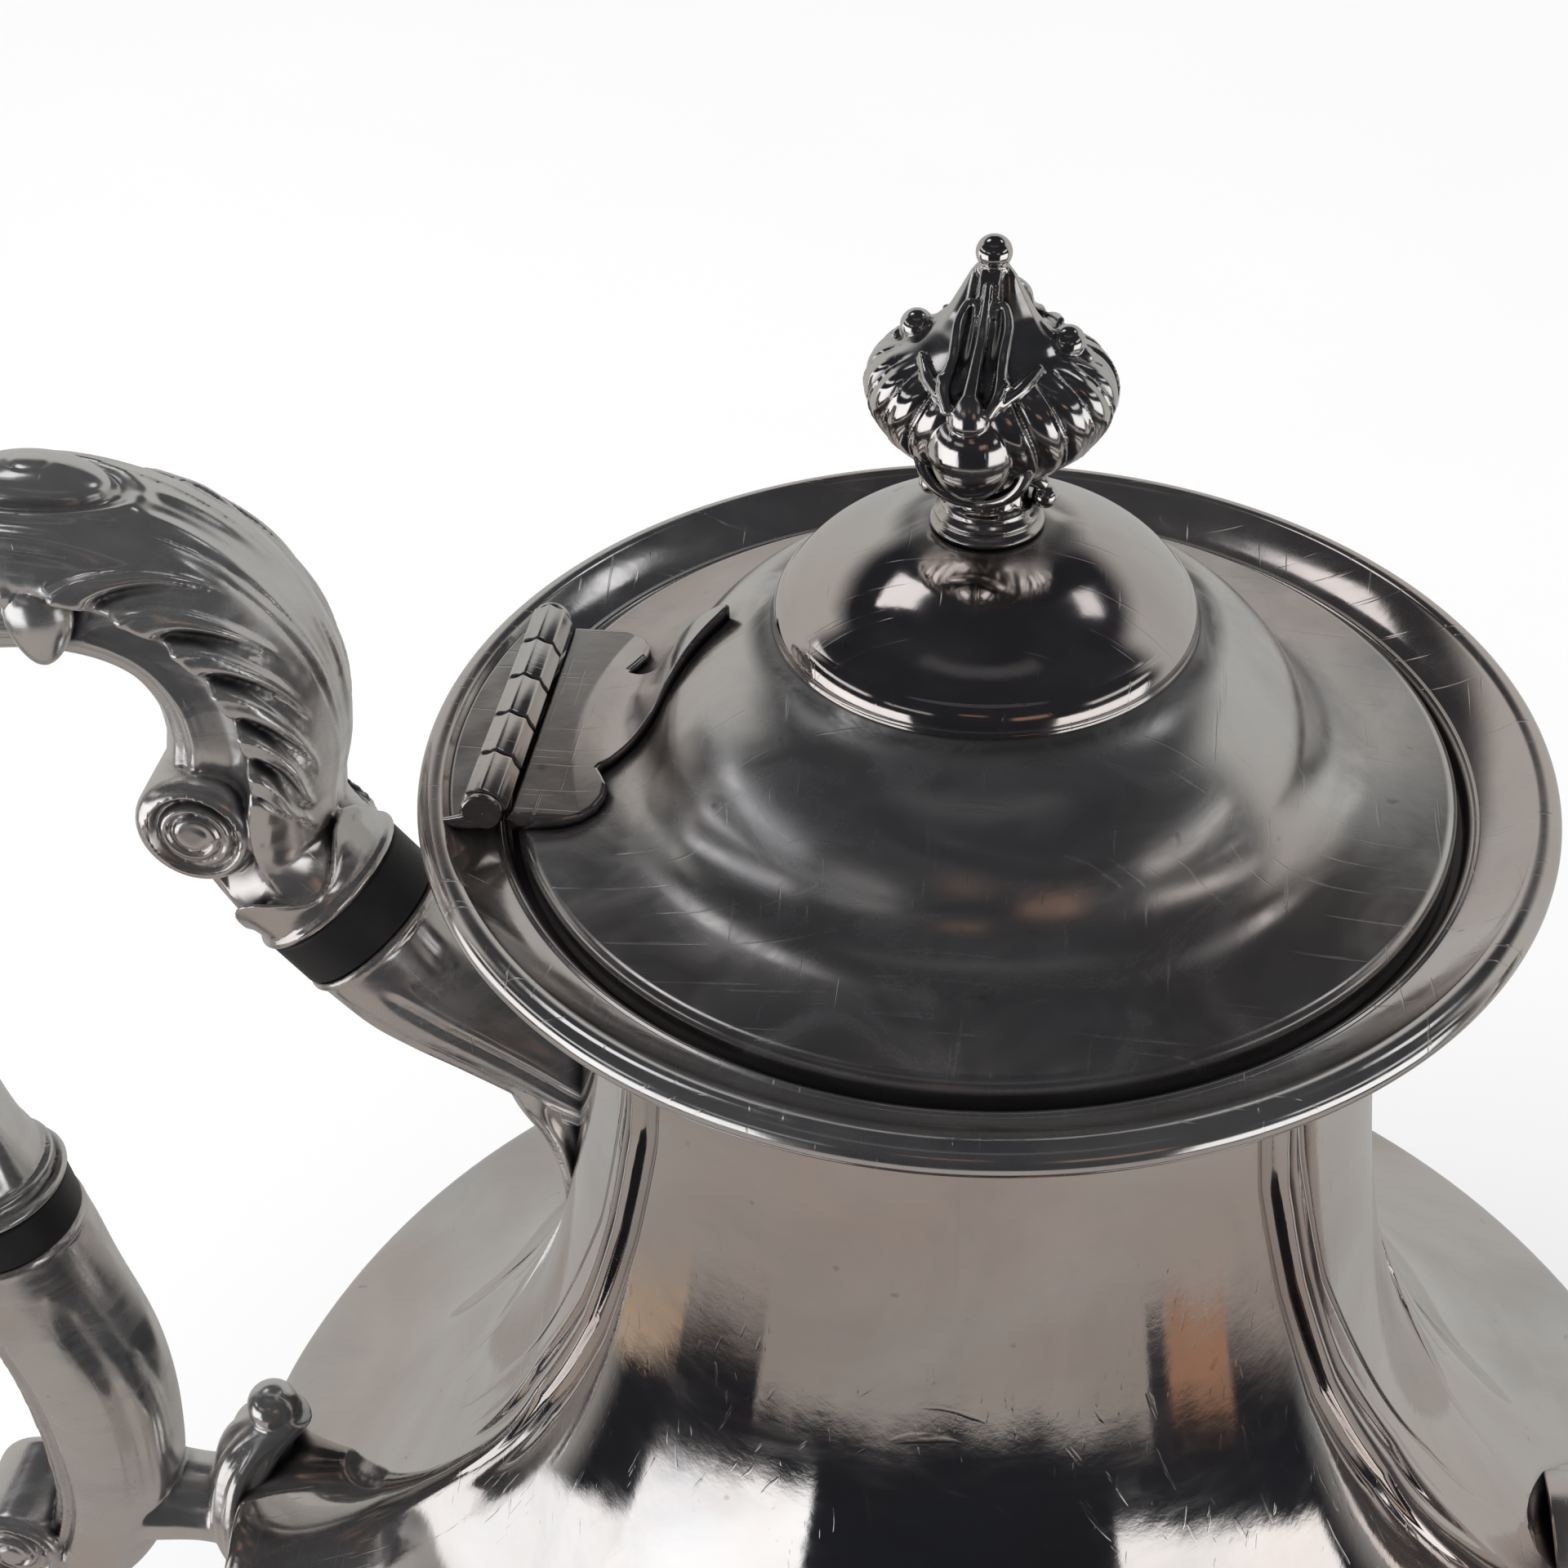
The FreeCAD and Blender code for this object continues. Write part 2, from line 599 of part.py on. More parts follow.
def build_upper_socket(envelope):
    top = face_of(UPPER_CENTRE, UPPER_AXIS, 1)
    stations = [(top.x, top.z, 6.8, 6.8)] + list(SOCKET)
    shape = tube(stations, V(UPPER_AXIS), V(0.85, 0, -0.52))
    shape = shape.fuse(tube(SOCKET_LEAF))
    shape = mortise(shape, UPPER_CENTRE, UPPER_AXIS, 1).cut(envelope)
    return solid_feature("upper_socket", shape)


def build_lower_bracket(envelope):
    top = face_of(LOWER_CENTRE, LOWER_AXIS, 1)
    stations = [(top.x, top.z, 6.8, 6.8)] + list(BRACKET)
    shape = tube(stations, V(LOWER_AXIS), V(-0.75, 0, 0.66))
    shape = shape.fuse(cylinder(5.6, V(-103.2, -6.4, -112.6), V(0, 1, 0), 12.8))
    shape = shape.fuse(cylinder(5.4, V(-91.0, 0, -107.0), V(1, 0, 0), 20))
    shape = shape.fuse(tube(BRACKET_LEAF))
    shape = shape.fuse(ball(3.0, V(-71.2, 0, -91.2)))
    shape = mortise(shape, LOWER_CENTRE, LOWER_AXIS, 1).cut(envelope)
    return solid_feature("lower_bracket", shape)


def build_insulator_pins():
    return solid_feature("insulator_pins", Part.makeCompound(cross_pins(0.1)))


# ---------------------------------------------------------------- spout and feet

SPOUT = ((60.0, -106.0, 14.0, 18.0), (77.0, -103.0, 12.4, 15.6), (86.0, -93.0, 10.6, 12.0),
         (91.3, -77.0, 9.0, 9.8), (94.8, -57.0, 7.8, 8.4), (99.0, -37.0, 7.0, 7.5),
         (105.5, -19.0, 6.5, 7.0), (114.0, -5.0, 6.2, 6.8))
SPOUT_ROOT = 60.0
# Draws the spout in until its lip stands as far out as the handle bracket on the other side.
SPOUT_SQUEEZE = 0.833115


def build_spout(envelope):
    wall = size("spout_wall")
    lip = V(0.62, 0, 0.78)
    outer = tube(SPOUT, V(1, 0, 0), lip)
    passage = tube([(x, z, w - wall, t - wall) for x, z, w, t in SPOUT], V(1, 0, 0), lip)
    squeeze = FreeCAD.Matrix()
    squeeze.A11 = SPOUT_SQUEEZE
    squeeze.A14 = SPOUT_ROOT * (1 - SPOUT_SQUEEZE)
    shape = outer.cut(passage).transformGeometry(squeeze)
    return solid_feature("spout", shape.cut(envelope))


# Distance out from the pot's axis and height above the table along one foot.
FOOT = ((54.0, 53.0, 9.5, 6.5), (62.5, 44.0, 8.2, 6.4), (67.4, 33.0, 6.2, 5.4),
        (67.0, 22.0, 4.8, 4.4), (63.6, 13.0, 4.4, 4.0), (64.6, 6.0, 5.2, 3.6))
TOE_RADIUS = 4.6
TOE_HALF_WIDTH = 5.6
TOE_HEIGHT = 4.2
TOE_REACH = 68.0


def foot_shape(envelope):
    """One foot, standing out along +X; its toe scroll is cut flat where it meets the table."""
    table = -size("rim_height")
    shift = size("foot_reach") - TOE_REACH
    shape = tube([(x + shift, z + table, w, t) for x, z, w, t in FOOT])
    toe = V(size("foot_reach"), -TOE_HALF_WIDTH, table + TOE_HEIGHT)
    shape = shape.fuse(cylinder(TOE_RADIUS, toe, V(0, 1, 0), 2 * TOE_HALF_WIDTH))
    below_table = Part.makeBox(60, 60, 20, V(40, -30, table - 20))
    return shape.cut(below_table).cut(envelope)


def build_feet(envelope):
    feet = []
    shape = foot_shape(envelope)
    for label, turn in (("foot_back_right", 45), ("foot_back_left", 135),
                        ("foot_front_left", 225), ("foot_front_right", 315)):
        foot = shape.copy()
        foot.rotate(V(0, 0, 0), V(0, 0, 1), turn)
        feet.append(solid_feature(label, foot))
    return feet


# ---------------------------------------------------------------- assembly and export

def build_all():
    envelope = body_envelope()
    collar = build_rim_collar()
    cover = build_lid_cover()
    parts = [build_body(), build_base_plate(), collar, cover, build_lid_crown(),
             build_lid_bezel(), build_finial()]
    parts += build_finial_fixings()
    parts += build_hinge(collar, cover)
    parts += [build_handle_grip(), build_upper_socket(envelope), build_lower_bracket(envelope),
              insulator("upper_insulator", UPPER_CENTRE, UPPER_AXIS),
              insulator("lower_insulator", LOWER_CENTRE, LOWER_AXIS),
              build_insulator_pins(), build_spout(envelope)]
    return parts + build_feet(envelope)


def check(parts):
    """Stop before writing anything if a feature or a finished piece is wrong."""
    doc.recompute()
    for item in doc.Objects:
        bad = [state for state in item.State if state in ("Invalid", "Error")]
        if bad:
            raise RuntimeError("%s: %s" % (item.Label, bad))
    for item in parts:
        shape = item.Shape
        if shape.isNull() or not shape.isValid() or not shape.Solids:
            raise RuntimeError("%s has no valid solid" % item.Label)
        if item.Label != "insulator_pins" and len(shape.Solids) != 1:
            raise RuntimeError("%s has %d solids" % (item.Label, len(shape.Solids)))


def export(parts):
    os.makedirs("parts", exist_ok=True)
    for item in parts:
        item.Shape.exportStep("parts/%s.step" % item.Label)


PARTS = build_all()
check(PARTS)
export(PARTS)
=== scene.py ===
"""High-detail looks for the coffee pot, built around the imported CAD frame."""

import math

import bmesh
import bpy
import numpy as np
from mathutils import Matrix, Vector


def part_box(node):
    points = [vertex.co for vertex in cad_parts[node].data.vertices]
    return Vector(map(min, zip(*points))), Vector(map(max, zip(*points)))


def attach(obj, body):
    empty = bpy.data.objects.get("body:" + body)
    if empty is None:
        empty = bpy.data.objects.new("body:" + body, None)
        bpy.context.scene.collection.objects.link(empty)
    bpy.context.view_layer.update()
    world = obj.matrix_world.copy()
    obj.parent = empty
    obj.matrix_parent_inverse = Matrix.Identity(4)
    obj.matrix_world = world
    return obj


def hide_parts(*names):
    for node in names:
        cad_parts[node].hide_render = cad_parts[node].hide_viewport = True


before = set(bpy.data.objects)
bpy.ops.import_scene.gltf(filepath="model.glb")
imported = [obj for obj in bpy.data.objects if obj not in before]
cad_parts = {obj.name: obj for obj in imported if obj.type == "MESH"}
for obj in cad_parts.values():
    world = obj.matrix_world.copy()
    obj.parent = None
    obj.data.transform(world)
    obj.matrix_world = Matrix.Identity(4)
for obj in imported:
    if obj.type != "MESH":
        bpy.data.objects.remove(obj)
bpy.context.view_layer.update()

MM = 0.001
RIM_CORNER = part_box("rim_collar")[1]
RIM_R = RIM_CORNER.x / MM
BEAD_R = 1.4
RIM_Z = RIM_CORNER.z / MM - BEAD_R


# ---------------------------------------------------------------- mesh tools
def smooth_step(low, high, value):
    """0 below low, 1 above high, smooth between."""
    t = np.clip((value - low) / (high - low), 0.0, 1.0)
    return t * t * (3.0 - 2.0 * t)


def window(value, low, rise, fall, high):
    """1 from rise to fall, 0 below low and above high."""
    return smooth_step(low, rise, value) * (1 - smooth_step(fall, high, value))


def hump(value, width):
    """A bell of height 1 around 0."""
    return np.exp(-((value / width) ** 2))


def dome(value, radius):
    """A half-round cord of height 1 around 0."""
    return np.sqrt(np.clip(1.0 - (value / radius) ** 2, 0.0, 1.0))


def spline(points, count, path_axes=2):
    """Catmull-Rom curve through the points, resampled evenly. Returns points and lengths."""
    p = np.asarray(points, float)
    wide = np.vstack([2 * p[0] - p[1], p, 2 * p[-1] - p[-2]])
    t = np.linspace(0, len(p) - 1, 60 * len(p))
    i = np.minimum(t.astype(int), len(p) - 2)
    f = (t - i)[:, None]
    a, b, c, d = wide[i], wide[i + 1], wide[i + 2], wide[i + 3]
    fine = 0.5 * (2 * b + (c - a) * f + (2 * a - 5 * b + 4 * c - d) * f**2
                  + (3 * b - a - 3 * c + d) * f**3)
    steps = np.linalg.norm(np.diff(fine[:, :path_axes], axis=0), axis=1)
    length = np.r_[0.0, np.cumsum(steps)]
    s = np.linspace(0.0, length[-1], count)
    curve = np.stack([np.interp(s, length, fine[:, k]) for k in range(fine.shape[1])], 1)
    return curve, s


def directions(path):
    """Unit tangents of a curve."""
    t = np.gradient(path, axis=0)
    return t / np.linalg.norm(t, axis=1, keepdims=True)


def full_turn(columns):
    return np.linspace(0, 2 * math.pi, columns, endpoint=False)


def from_outward(column):
    """Share of the way round a strap, from 0 on its outward side to 1 on its inward side."""
    n = column.shape[1]
    return 2 * np.minimum(column / n, 1 - column / n)


def linked(name, mesh):
    """Smooth-shaded object of a mesh, in the scene."""
    mesh.polygons.foreach_set("use_smooth", [True] * len(mesh.polygons))
    obj = bpy.data.objects.new(name, mesh)
    bpy.context.scene.collection.objects.link(obj)
    return obj


def bezier(p0, p1, p2, p3, count):
    t = np.linspace(0, 1, count)[:, None]
    p0, p1, p2, p3 = (np.asarray(p, float) for p in (p0, p1, p2, p3))
    return (1 - t)**3 * p0 + 3 * (1 - t)**2 * t * p1 + 3 * (1 - t) * t**2 * p2 + t**3 * p3


def grid_faces(rows, columns, wrap_rows):
    """Quads of a grid whose columns wrap."""
    r = np.arange(rows if wrap_rows else rows - 1)
    a, b = np.meshgrid(r, np.arange(columns), indexing="ij")
    a2, b2 = (a + 1) % rows, (b + 1) % columns
    quads = np.stack([a * columns + b, a * columns + b2, a2 * columns + b2, a2 * columns + b], -1)
    return quads.reshape(-1, 4).tolist()


def make_object(name, verts, faces):
    """Object from vertices in mm, with outward normals and smooth shading."""
    mesh = bpy.data.meshes.new(name)
    mesh.from_pydata((np.asarray(verts, float) * MM).tolist(), [], faces)
    bm = bmesh.new()
    bm.from_mesh(mesh)
    bmesh.ops.remove_doubles(bm, verts=bm.verts, dist=2e-6)
    bmesh.ops.recalc_face_normals(bm, faces=bm.faces)
    bm.to_mesh(mesh)
    bm.free()
    mesh.update()
    return linked(name, mesh)


def ring_mesh(name, points):
    """Closed in both directions."""
    rows, columns = points.shape[:2]
    return make_object(name, points.reshape(-1, 3), grid_faces(rows, columns, True))


def capped_mesh(name, points):
    """A tube with both ends closed by fans."""
    rows, columns = points.shape[:2]
    verts = np.vstack([points.reshape(-1, 3), points[0].mean(0), points[-1].mean(0)])
    faces = grid_faces(rows, columns, False)
    first, last = rows * columns, rows * columns + 1
    base = (rows - 1) * columns
    for c in range(columns):
        n = (c + 1) % columns
        faces.append([first, n, c])
        faces.append([last, base + c, base + n])
    return make_object(name, verts, faces)


def grid_normals(p):
    """Outward unit normals of a tube grid whose columns wrap."""
    across = np.roll(p, -1, 1) - np.roll(p, 1, 1)
    along = np.gradient(p, axis=0)
    n = np.cross(across, along)
    n /= np.maximum(np.linalg.norm(n, axis=2, keepdims=True), 1e-9)
    away = p - p.mean(1, keepdims=True)
    return n * (1.0 if (n * away).sum() > 0 else -1.0)


def spun(outline, columns, relief=None):
    """Grids of radius, height and angle for an outline turned about an axis."""
    p = np.asarray(outline, float)
    a = full_turn(columns)[None, :]
    r, h = (np.repeat(p[:, k:k + 1], columns, 1) for k in (0, 1))
    if relief is not None:
        r, h = relief(r, h, a)
    return r, h, a


def lathe(name, outline, columns, relief=None):
    """Closed outline of (radius, height) turned about the upright axis."""
    r, z, a = spun(outline, columns, relief)
    return ring_mesh(name, np.stack([r * np.cos(a), r * np.sin(a), z + RIM_Z], -1))


def rounded(outline, radius, steps=5):
    """Rounds every corner of a closed outline."""
    p = np.asarray(outline, float)
    out = []
    for k in range(len(p)):
        before, here, after = p[k - 1], p[k], p[(k + 1) % len(p)]
        to_b, to_a = before - here, after - here
        lb, la = np.linalg.norm(to_b), np.linalg.norm(to_a)
        reach = min(radius, 0.42 * lb, 0.42 * la)
        start, end = here + to_b / lb * reach, here + to_a / la * reach
        for t in np.linspace(0, 1, steps):
            out.append((1 - t)**2 * start + 2 * t * (1 - t) * here + t * t * end)
    return np.array(out)


def ellipsoid(name, centre, radii, rows=32, columns=48, taper=0.0, turn=None):
    """Ball stretched to radii; taper narrows it towards +z."""
    t = np.linspace(0, math.pi, rows)[1:-1, None]
    a = full_turn(columns)[None, :]
    x = np.sin(t) * np.cos(a)
    y = np.sin(t) * np.sin(a)
    z = np.cos(t) * np.ones_like(a)
    narrow = 1.0 - taper * z
    p = np.stack([x * narrow * radii[0], y * narrow * radii[1], z * radii[2]], -1)
    if turn is not None:
        p = p @ np.array(turn.to_3x3(), float).T
    return capped_mesh(name, p + np.asarray(centre, float))


def cord_tube(name, points, radius, sides=14, count=None):
    """Round cord along a 3-D curve; radius may be a number or one per control point."""
    p = np.asarray(points, float)
    radii = np.full(len(p), radius, float) if np.isscalar(radius) else np.asarray(radius, float)
    path, _ = spline(np.column_stack([p, radii]), count or 12 * len(p), 3)
    tangent = directions(path[:, :3])
    side = np.cross(tangent, [0.31, 0.22, 0.92])
    side /= np.linalg.norm(side, axis=1, keepdims=True)
    up = np.cross(side, tangent)
    a = full_turn(sides)[None, :, None]
    around = np.cos(a) * side[:, None] + np.sin(a) * up[:, None]
    return capped_mesh(name, path[:, None, :3] + around * path[:, None, 3:4])


def strap(name, stations, section, rows=240, relief=None, shape=None):
    """Casting swept along stations (x, z, half width, half thickness) in the XZ plane.

    relief(s, tau, path) is the height over the plain section; tau is the share from_outward."""
    path, s = spline(stations, rows)
    tangent = directions(path[:, :2])
    out = np.stack([tangent[:, 1], np.zeros(rows), -tangent[:, 0]], 1)
    unit = section if shape is None else shape(section, s)
    if unit.ndim == 2:
        unit = np.repeat(unit[None], rows, 0)
    b = unit[..., 0] * path[:, 2:3]
    n = unit[..., 1] * path[:, 3:4]
    centre = np.stack([path[:, 0], np.zeros(rows), path[:, 1] + RIM_Z], 1)
    p = centre[:, None] + b[..., None] * np.array([0.0, 1.0, 0.0]) + n[..., None] * out[:, None]
    if relief is not None:
        tau = from_outward(np.arange(unit.shape[1])[None])
        p = p + relief(s[:, None], tau, path)[..., None] * grid_normals(p)
    return capped_mesh(name, p)


def oval(columns, power=2.0):
    """Unit section, column 0 on the outward side; a higher power is squarer."""
    a = full_turn(columns)
    b, n = np.sin(a), np.cos(a)
    return np.stack([np.sign(b) * np.abs(b)**(2 / power), np.sign(n) * np.abs(n)**(2 / power)], 1)


def disc_scroll(name, centre, radius, half_width, eye, turns, flip, columns=160):
    """Volute: a drum lying across Y, rounded, with a spiral line on both flat sides."""
    faces_r = np.linspace(0.02, 1.0, 26)
    edge = np.linspace(0, math.pi, 20)
    corner = min(1.6, 0.35 * radius)
    left = [(radius * f - corner * f, -half_width) for f in faces_r]
    rim = [(radius - corner + corner * math.sin(t),
            -(half_width - corner) - corner * math.cos(t) if t < math.pi / 2 else
            (half_width - corner) - corner * math.cos(t)) for t in edge]
    right = [(radius * f - corner * f, half_width) for f in faces_r[::-1]]
    r, y, a = spun(left + rim + right, columns)
    spiral = eye + (radius - corner - eye) * ((flip * a / (2 * math.pi)) % 1.0)
    pitch = (radius - corner - eye) / turns
    groove = hump(((r - spiral + pitch / 2) % pitch) - pitch / 2, 0.28)
    face = smooth_step(radius - 0.8 * corner, radius - 1.1 * corner, r) * smooth_step(0.4, 0.8, r / eye)
    y = y - np.sign(y) * 0.55 * groove * face
    y = y - np.sign(y) * 0.5 * smooth_step(eye + 0.3, eye + 0.9, r) * face
    p = np.stack([r * np.cos(a) + centre[0], y, r * np.sin(a) + centre[1] + RIM_Z], -1)
    return capped_mesh(name, p)


def turned_about(name, outline, centre, axis, columns=120, relief=None):
    """Closed outline (radius, along) turned about an axis in the XZ plane."""
    axis = np.array([axis[0], 0.0, axis[1]])
    axis /= np.linalg.norm(axis)
    side = np.array([0.0, 1.0, 0.0])
    third = np.cross(side, axis)
    r, h, a = spun(outline, columns, relief)
    base = np.array([centre[0], 0.0, centre[1] + RIM_Z])
    points = (base + h[..., None] * axis
              + (r * np.cos(a))[..., None] * third + (r * np.sin(a))[..., None] * side)
    return ring_mesh(name, points)


def joined(name, parts):
    """One mesh of several closed shells."""
    bm = bmesh.new()
    for part in parts:
        bm.from_mesh(part.data)
    mesh = bpy.data.meshes.new(name)
    bm.to_mesh(mesh)
    bm.free()
    for part in parts:
        old = part.data
        bpy.data.objects.remove(part)
        bpy.data.meshes.remove(old)
    return linked(name, mesh)


def baked(obj):
    """Applies the modifiers."""
    graph = bpy.context.evaluated_depsgraph_get()
    mesh = bpy.data.meshes.new_from_object(obj.evaluated_get(graph))
    obj.modifiers.clear()
    old = obj.data
    obj.data = mesh
    bpy.data.meshes.remove(old)
    mesh.polygons.foreach_set("use_smooth", [True] * len(mesh.polygons))
    return obj


def cast(name, parts, voxel, smoothing):
    """Melts overlapping shells into one closed skin, as in a casting."""
    obj = joined(name, parts)
    melt = obj.modifiers.new("melt", "REMESH")
    melt.mode = "VOXEL"
    melt.voxel_size = voxel * MM * 1.0
    soften = obj.modifiers.new("soften", "SMOOTH")
    soften.factor = 0.5
    soften.iterations = smoothing
    return baked(obj)


# ---------------------------------------------------------------- body
NECK = (32.5, -4.4)
BELLY = (75.6, -99.5)
WALL = 1.2
# (degrees from the front, drop below the rim plane) of the two cords in one quarter
INNER_CORD = np.array([(46.5, 2.0), (46.5, 13.0), (47.7, 21.3), (52.3, 34.1), (58.7, 48.0),
                       (68.4, 63.8), (75.4, 78.8), (80.0, 90.0)])
OUTER_CORD = np.array([(49.2, 2.0), (49.5, 13.0), (51.8, 21.0), (58.3, 37.0), (68.4, 52.4),
                       (80.6, 72.0), (86.5, 85.5), (88.6, 92.0)])


def body_profile():
    shoulder = bezier(NECK, (32.5, -104.4), (75.6, -91.9), BELLY, 210)
    bowl = bezier(BELLY, (75.6, -125.5), (58, -151), (36, -157), 90)
    return np.vstack([shoulder, bowl[1:], [[36, -158.5], [36, -160]]])


def inset(profile, depth):
    t = directions(profile)
    return profile + depth * np.stack([t[:, 1], -t[:, 0]], 1)


def cord_angles(table, drop):
    return np.radians(np.interp(drop, table[:, 1], table[:, 0]))


def quarter_keys(drop):
    """Column angles of one quarter at one height, crowded round the cords."""
    inner = cord_angles(INNER_CORD, drop)
    outer = cord_angles(OUTER_CORD, drop)
    lane = np.radians(7.0)
    front = (inner - lane) * np.linspace(0, 1, 34, endpoint=False)**0.9
    strip = np.linspace(inner - lane, inner + 0.5 * lane, 46, endpoint=False)
    gap_end = max(outer + 0.6 * lane, inner + 0.7 * lane)
    gap_end = min(gap_end, math.pi / 2 - np.radians(0.4))
    between = np.linspace(inner + 0.5 * lane, gap_end, 34, endpoint=False)
    side = gap_end + (math.pi / 2 - gap_end) * np.linspace(0, 1, 22, endpoint=False)
    return np.r_[front, strip, between, side]


def body_columns(drop):
    """Angles from the front, all the way round, with both cords of every quarter."""
    q = quarter_keys(drop)
    mirrored = math.pi - q[::-1]
    half = np.r_[q, math.pi / 2, mirrored[:-1]]
    return np.r_[half, half + math.pi]


def body_relief(front_angle, radius, drop, along):
    """Cords and grooves: height in mm over the plain body."""
    folded = np.abs((front_angle + math.pi / 2) % math.pi - math.pi / 2)
    inner = cord_angles(INNER_CORD, drop)
    outer = cord_angles(OUTER_CORD, drop)
    lean_in = np.gradient(inner, along) * radius
    lean_out = np.gradient(outer, along) * radius
    t_in = (folded - inner[:, None]) * radius[:, None] / np.sqrt(1 + lean_in**2)[:, None]
    t_out = (folded - outer[:, None]) * radius[:, None] / np.sqrt(1 + lean_out**2)[:, None]
    d = drop[:, None]
    start = smooth_step(7.0, 10.5, d)
    end_in = 1 - smooth_step(58.0, 84.0, d)
    end_out = 1 - smooth_step(60.0, 90.0, d)
    widen = 1 + 0.9 * smooth_step(35.0, 75.0, d)
    cord = 0.95 * dome(t_in, 0.75 * widen) * start * end_in
    second = 0.35 * dome(t_in - 1.45 * widen, 0.5 * widen) * smooth_step(38.0, 60.0, d) * end_in
    groove = -0.34 * hump(t_in + 1.35 * widen, 0.42 * widen) * start * end_in
    trough = -0.32 * hump(t_in - 1.1, 0.22) * start * (1 - smooth_step(36.0, 60.0, d))
    ribbon_width = np.clip((outer - inner) * radius, 1.6, 9.0)[:, None]
    ribbon = 0.38 * smooth_step(1.0, 1.5 + 0.25 * (ribbon_width - 1.6), t_in)
    ribbon = ribbon * (1 - smooth_step(-0.1, 0.35, t_out)) * start * end_out
    edge = -0.20 * hump(t_out - 0.5, 0.22) * start * end_out
    teardrop = 0.9 * hump(d - 84.0, 9.0) * hump(t_in, 3.0 + 0.06 * (d - 70.0))
    waver = 0.05 * np.sin(d * 1.9 + 3 * np.sign(folded)) * np.sin(d * 0.73 + 1.1)
    solder = waver * hump(t_in, 1.1) * start * (1 - smooth_step(22.0, 34.0, d))
    blob = 0.55 * hump(t_in - 0.2, 1.3) * hump(d - 9.0, 1.6)
    return cord + second + groove + trough + ribbon + edge + teardrop + solder + blob


def build_body():
    """Outer wall with its cords, closed by a plain inner wall."""
    outer = body_profile()
    drop = -outer[:, 1]
    along = np.r_[0, np.cumsum(np.linalg.norm(np.diff(outer, axis=0), axis=1))]
    front = np.array([body_columns(d) for d in drop])
    height = body_relief(front, outer[:, 0], drop, along)
    t = directions(outer)
    r = outer[:, :1] - t[:, 1:2] * height
    z = outer[:, 1:2] + t[:, 0:1] * height
    inner = inset(outer, WALL)[::-1]
    inner[:, 1] = np.clip(inner[:, 1], -160.0, -4.4)
    front_all = np.vstack([front, front[::-1]])
    r_all = np.vstack([r, np.repeat(inner[:, :1], front.shape[1], 1)])
    z_all = np.vstack([z, np.repeat(inner[:, 1:2], front.shape[1], 1)])
    points = np.stack([r_all * np.sin(front_all), -r_all * np.cos(front_all), z_all + RIM_Z], -1)
    return ring_mesh("pot_body", points)


# ---------------------------------------------------------------- rim and lid
def build_rim():
    arc = [(42.6 + BEAD_R * math.cos(t), BEAD_R * math.sin(t))
           for t in np.linspace(-2.1, 2.0, 26)]
    flange = bezier((41.9, 1.15), (40.6, 0.05), (39.2, -0.75), (38.1, -0.98), 22)
    step = [(38.0, -0.86), (37.72, -0.92), (37.45, -1.08), (37.32, -1.3), (37.3, -2.6)]
    inner = [(36.9, -2.62), (31.5, -2.62), (31.3, -2.8), (31.3, -4.4)]
    skirt = [(32.55, -4.42), (32.6, -7.0), (33.0, -7.1), (33.62, -6.9), (33.74, -5.6)]
    under = bezier((33.8, -5.35), (36.0, -4.9), (38.6, -3.6), (41.2, -1.9), 12)
    outline = np.vstack([skirt, under, arc, flange, step, inner])
    return lathe("pot_rim", outline, 720)


def lid_outline():
    """Upper face of the bell from the crown seam to the brim, then the under face."""
    bell = bezier((16.0, 13.75), (19.4, 12.7), (22.9, 9.4), (24.7, 5.6), 60)
    cove = bezier((24.7, 5.6), (25.7, 3.5), (27.2, 1.75), (29.6, 1.2), 30)
    brim = bezier((29.6, 1.2), (31.8, 0.72), (34.0, 0.52), (35.5, 0.42), 18)
    lip = [(35.5 + 1.0 * math.sin(t), -0.58 + 1.0 * math.cos(t)) for t in np.linspace(0.1, 1.5, 9)]
    drop = [(36.5, -0.9), (36.48, -2.3), (36.3, -2.52), (35.7, -2.52), (35.55, -2.3), (35.5, -0.5)]
    under = np.vstack([[(35.2, -0.4), (29.0, 0.1)], bezier((28.0, 0.4), (25.4, 1.6), (24.2, 4.2),
                       (23.4, 6.4), 14), bezier((23.2, 6.8), (21.0, 10.2), (18.4, 12.2),
                       (15.0, 12.75), 14), [(14.0, 12.8), (14.0, 13.6), (15.6, 13.72)]])
    return np.vstack([bell, cove, brim, lip, drop, under])


LID_CHORD = 34.4


def lid_relief(r, z, a):
    """Draws the brim in to the straight edge beside the hinge."""
    reach = np.where(np.cos(a) < 0, LID_CHORD / np.maximum(-np.cos(a), 1e-3), 99.0)
    limit = np.minimum(reach, 36.5) * np.ones_like(r)
    share = np.clip((r - 28.0) / (36.5 - 28.0), 0.0, 1.0)
    return np.where(r > 28.0, 28.0 + share * (limit - 28.0), r), z


def lid_height(radius):
    """Height of the bell's upper face at a radius, above the rim plane."""
    top = lid_outline()[:108]
    order = np.argsort(top[:, 0])
    return np.interp(radius, top[order, 0], top[order, 1])


def build_lid():
    return lathe("lid_bell", lid_outline(), 540, relief=lid_relief)


CROWN_TOP = 21.8


